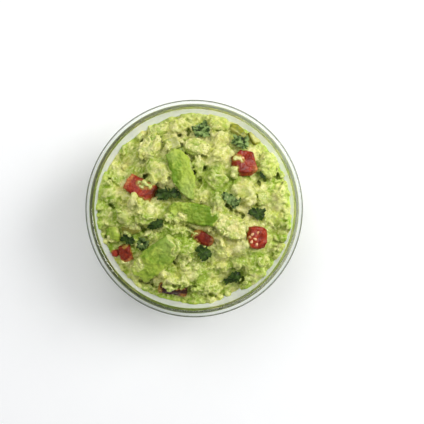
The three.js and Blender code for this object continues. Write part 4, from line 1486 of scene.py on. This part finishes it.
def leaf_blade(node, material, random):
    """A torn leaf over its solid: toothed lobes, thin, wavy, with veins out from its middle."""
    solid = solid_copy(node)
    points = points_of(solid)
    middle, axes = main_axes(points)
    outline, lobes, phase = leaf_outline((points - middle) @ axes.T, random)
    rows = []
    for ring in range(LEAF_RINGS + 1):
        share = ring / LEAF_RINGS
        for angle, edge in zip(LEAF_ANGLES, outline):
            rows.append((edge * share * math.cos(angle), edge * share * math.sin(angle), share))
    flat = np.array(rows)
    height = middle_heights(flat, middle, axes, tree_of(solid))
    angle, radius = np.arctan2(flat[:, 1], flat[:, 0]), np.hypot(flat[:, 0], flat[:, 1])
    outer = flat[:, 2]
    vein = np.abs(np.sin(angle * lobes / 2 + phase)) ** 40 * (outer < 0.9) * np.clip(1.3 - outer, 0, 1)
    size = outline.max()
    height += size * 0.06 * np.sin(radius / size * 5 + angle * 2) * outer
    height += size * 0.05 * np.sin(angle * lobes * TEETH_IN_LOBE / 2) * outer ** 2
    height -= 0.12 * MM * vein
    mesh = blade_mesh(flat, height, middle, axes)
    store(mesh, "vein", np.concatenate([vein, vein]))
    store(mesh, "frost_and_sheen", np.full(len(mesh.vertices), FROST_AND_SHEEN.get(node, 0.05)))
    work = bmesh.new()
    work.from_mesh(mesh)
    bmesh.ops.remove_doubles(work, verts=work.verts, dist=SAME_PLACE)
    bmesh.ops.recalc_face_normals(work, faces=work.faces)
    make_piece("torn_" + node, finished(work, "leaf"), material, [node])


# ---- scene ------------------------------------------------------------------------------------

HALF_TABLE = 3.0  # half the width of the table top
SKY_COLOR = (0.97, 0.985, 1.0, 1)

# Lamps [name, direction to it, distance, width, power in watts].
LAMPS = [
    ("right window", (0.731, 0.295, 0.616), 1.1, 0.6, 9.4),
    ("back window", (-0.242, 0.52, 0.819), 1.1, 0.8, 4.6),
]
SIDE_SKY = 0.26  # strength of the sky at the level of the table, as in a dark room
TOP_SKY = 0.5  # its strength overhead, as under a pale ceiling

# The rendered picture is 424 points wide. The bowl's rim is 218 points across in it, and the
# middle of the rim lies left of and above the middle of the picture.
PICTURE_POINTS = 424
RIM_POINTS = 217.9
RIM_MIDDLE = (194.1, 208.6)
CAMERA_HEIGHT = 0.75  # above the rim


def make_floor():
    """A plain pale table top."""
    mesh = bpy.data.meshes.new("table_top")
    corners = [(-1, -1), (1, -1), (1, 1), (-1, 1)]
    mesh.from_pydata([(x * HALF_TABLE, y * HALF_TABLE, 0) for x, y in corners], [], [(0, 1, 2, 3)])
    material, tree, shader, place = new_material("white table")
    grain = noise(tree, place, 25 * MM)
    shade = blend_colors(tree, grain, (0.92, 0.92, 0.93, 1), (0.94, 0.94, 0.94, 1))
    tree.links.new(shade, shader.inputs["Base Color"])
    set_inputs(shader, Roughness=0.9)
    mesh.materials.append(material)
    floor = bpy.data.objects.new("table_top", mesh)
    bpy.context.collection.objects.link(floor)


def make_light(name, direction, distance, size, power):
    """A square lamp that faces the food from a direction."""
    lamp = bpy.data.lights.new(name, "AREA")
    lamp.size = size
    lamp.energy = power
    place = Vector(direction).normalized() * distance + Vector((0, 0, BOWL_HEIGHT / 2))
    holder = bpy.data.objects.new(name, lamp)
    holder.location = place
    holder.rotation_euler = (-Vector(direction)).to_track_quat("-Z", "Y").to_euler()
    holder.visible_transmission = False  # the glass shows no bright square of the lamp
    bpy.context.collection.objects.link(holder)


def light_scene():
    """A soft sky that is brighter overhead, and two square windows."""
    world = bpy.data.worlds.new("soft studio")
    world.use_nodes = True
    tree = world.node_tree
    height = add(tree, "ShaderNodeSeparateXYZ", {0: add(tree, "ShaderNodeTexCoord").outputs[0]})
    sky = spread(tree, height.outputs["Z"], 0.0, 0.9, SIDE_SKY, TOP_SKY)
    tree.links.new(sky, tree.nodes["Background"].inputs["Strength"])
    tree.nodes["Background"].inputs["Color"].default_value = SKY_COLOR
    bpy.context.scene.world = world
    for lamp in LAMPS:
        make_light(*lamp)
    bpy.context.scene.view_settings.view_transform = "Standard"
    path_limits = bpy.context.scene.cycles  # light runs a long way round inside the thick glass
    path_limits.max_bounces = 24
    path_limits.glossy_bounces = 20
    path_limits.transmission_bounces = 20


def make_camera():
    """Looks straight down, from over the middle of the picture."""
    point = 2 * RIM_RADIUS / RIM_POINTS
    camera = bpy.data.cameras.new("camera")
    camera.sensor_width = 36
    camera.lens = camera.sensor_width * CAMERA_HEIGHT / (PICTURE_POINTS * point)
    camera.clip_start = 0.01
    holder = bpy.data.objects.new("camera", camera)
    middle = PICTURE_POINTS / 2
    holder.location = ((middle - RIM_MIDDLE[0]) * point, -(middle - RIM_MIDDLE[1]) * point,
                       BOWL_HEIGHT + CAMERA_HEIGHT)
    bpy.context.collection.objects.link(holder)
    bpy.context.scene.camera = holder


# Soft pieces, worn like the mash, which lies right up to them, and slabs that it reaches in places.
SOFT = ["avocado_4", "avocado_5", "avocado_7", "avocado_8", "avocado_9", "avocado_10",
        "avocado_11"]
SLABS = ["avocado_1", "avocado_2", "avocado_3"]


def build():
    """The bowl, the mash, the pieces in it and the leaves, then the scene round them."""
    make_piece("glass_bowl", bowl_mesh(), glass_material(), ["bowl"])
    cut_nodes = [name for name in FOOD_NODES if name != "mash" and name not in LEAVES]
    groups = {
        "leaves": LEAVES, "pieces": cut_nodes, "soft": SOFT, "slabs": SLABS,
        "clean": [name for name in cut_nodes if "avocado" not in name],
    }
    meshes = {name: join_meshes([solid_copy(node) for node in nodes])
              for name, nodes in groups.items()}
    meshes["leaves"] = remeshed(meshes["leaves"], LEAF_VOXEL)
    meshes["pieces"] = remeshed(meshes["pieces"], COARSE)
    trees = {name: tree_of(mesh) for name, mesh in meshes.items()}
    heap = tree_of(make_mash(mash_material(), meshes, trees).data)

    green = avocado_material("green avocado", color(166, 186, 66), color(108, 142, 20), smeared=0.05)
    pale = avocado_material("pale avocado", color(214, 206, 134), color(190, 190, 88), smeared=0.3)
    finishes = {
        "avocado": (green, AVOCADO_RELIEF), "pale_avocado": (pale, SOFT_RELIEF),
        "tomato": (tomato_material(), TOMATO_RELIEF), "onion": (onion_material(), ONION_RELIEF),
        "chili": (chili_material(), ONION_RELIEF),
    }
    slots = {item["node"]: item["material_slot"] for item in frame["record"]["subparts"]}
    tomatoes = []
    for node in cut_nodes:
        material, relief = finishes[slots[node]]
        relief = SOFT_RELIEF if node in SOFT else relief
        piece = cut_piece("cut_" + node, node, material, heap, relief)
        if slots[node] == "tomato":
            tomatoes.append(piece.data.copy())
    tomato_seeds(tree_of(join_meshes(tomatoes)), seed_material())
    leaf = leaf_material()
    random = np.random.default_rng(77)
    for node in LEAVES:
        leaf_blade(node, leaf, random)

    make_floor()
    light_scene()
    make_camera()


build()
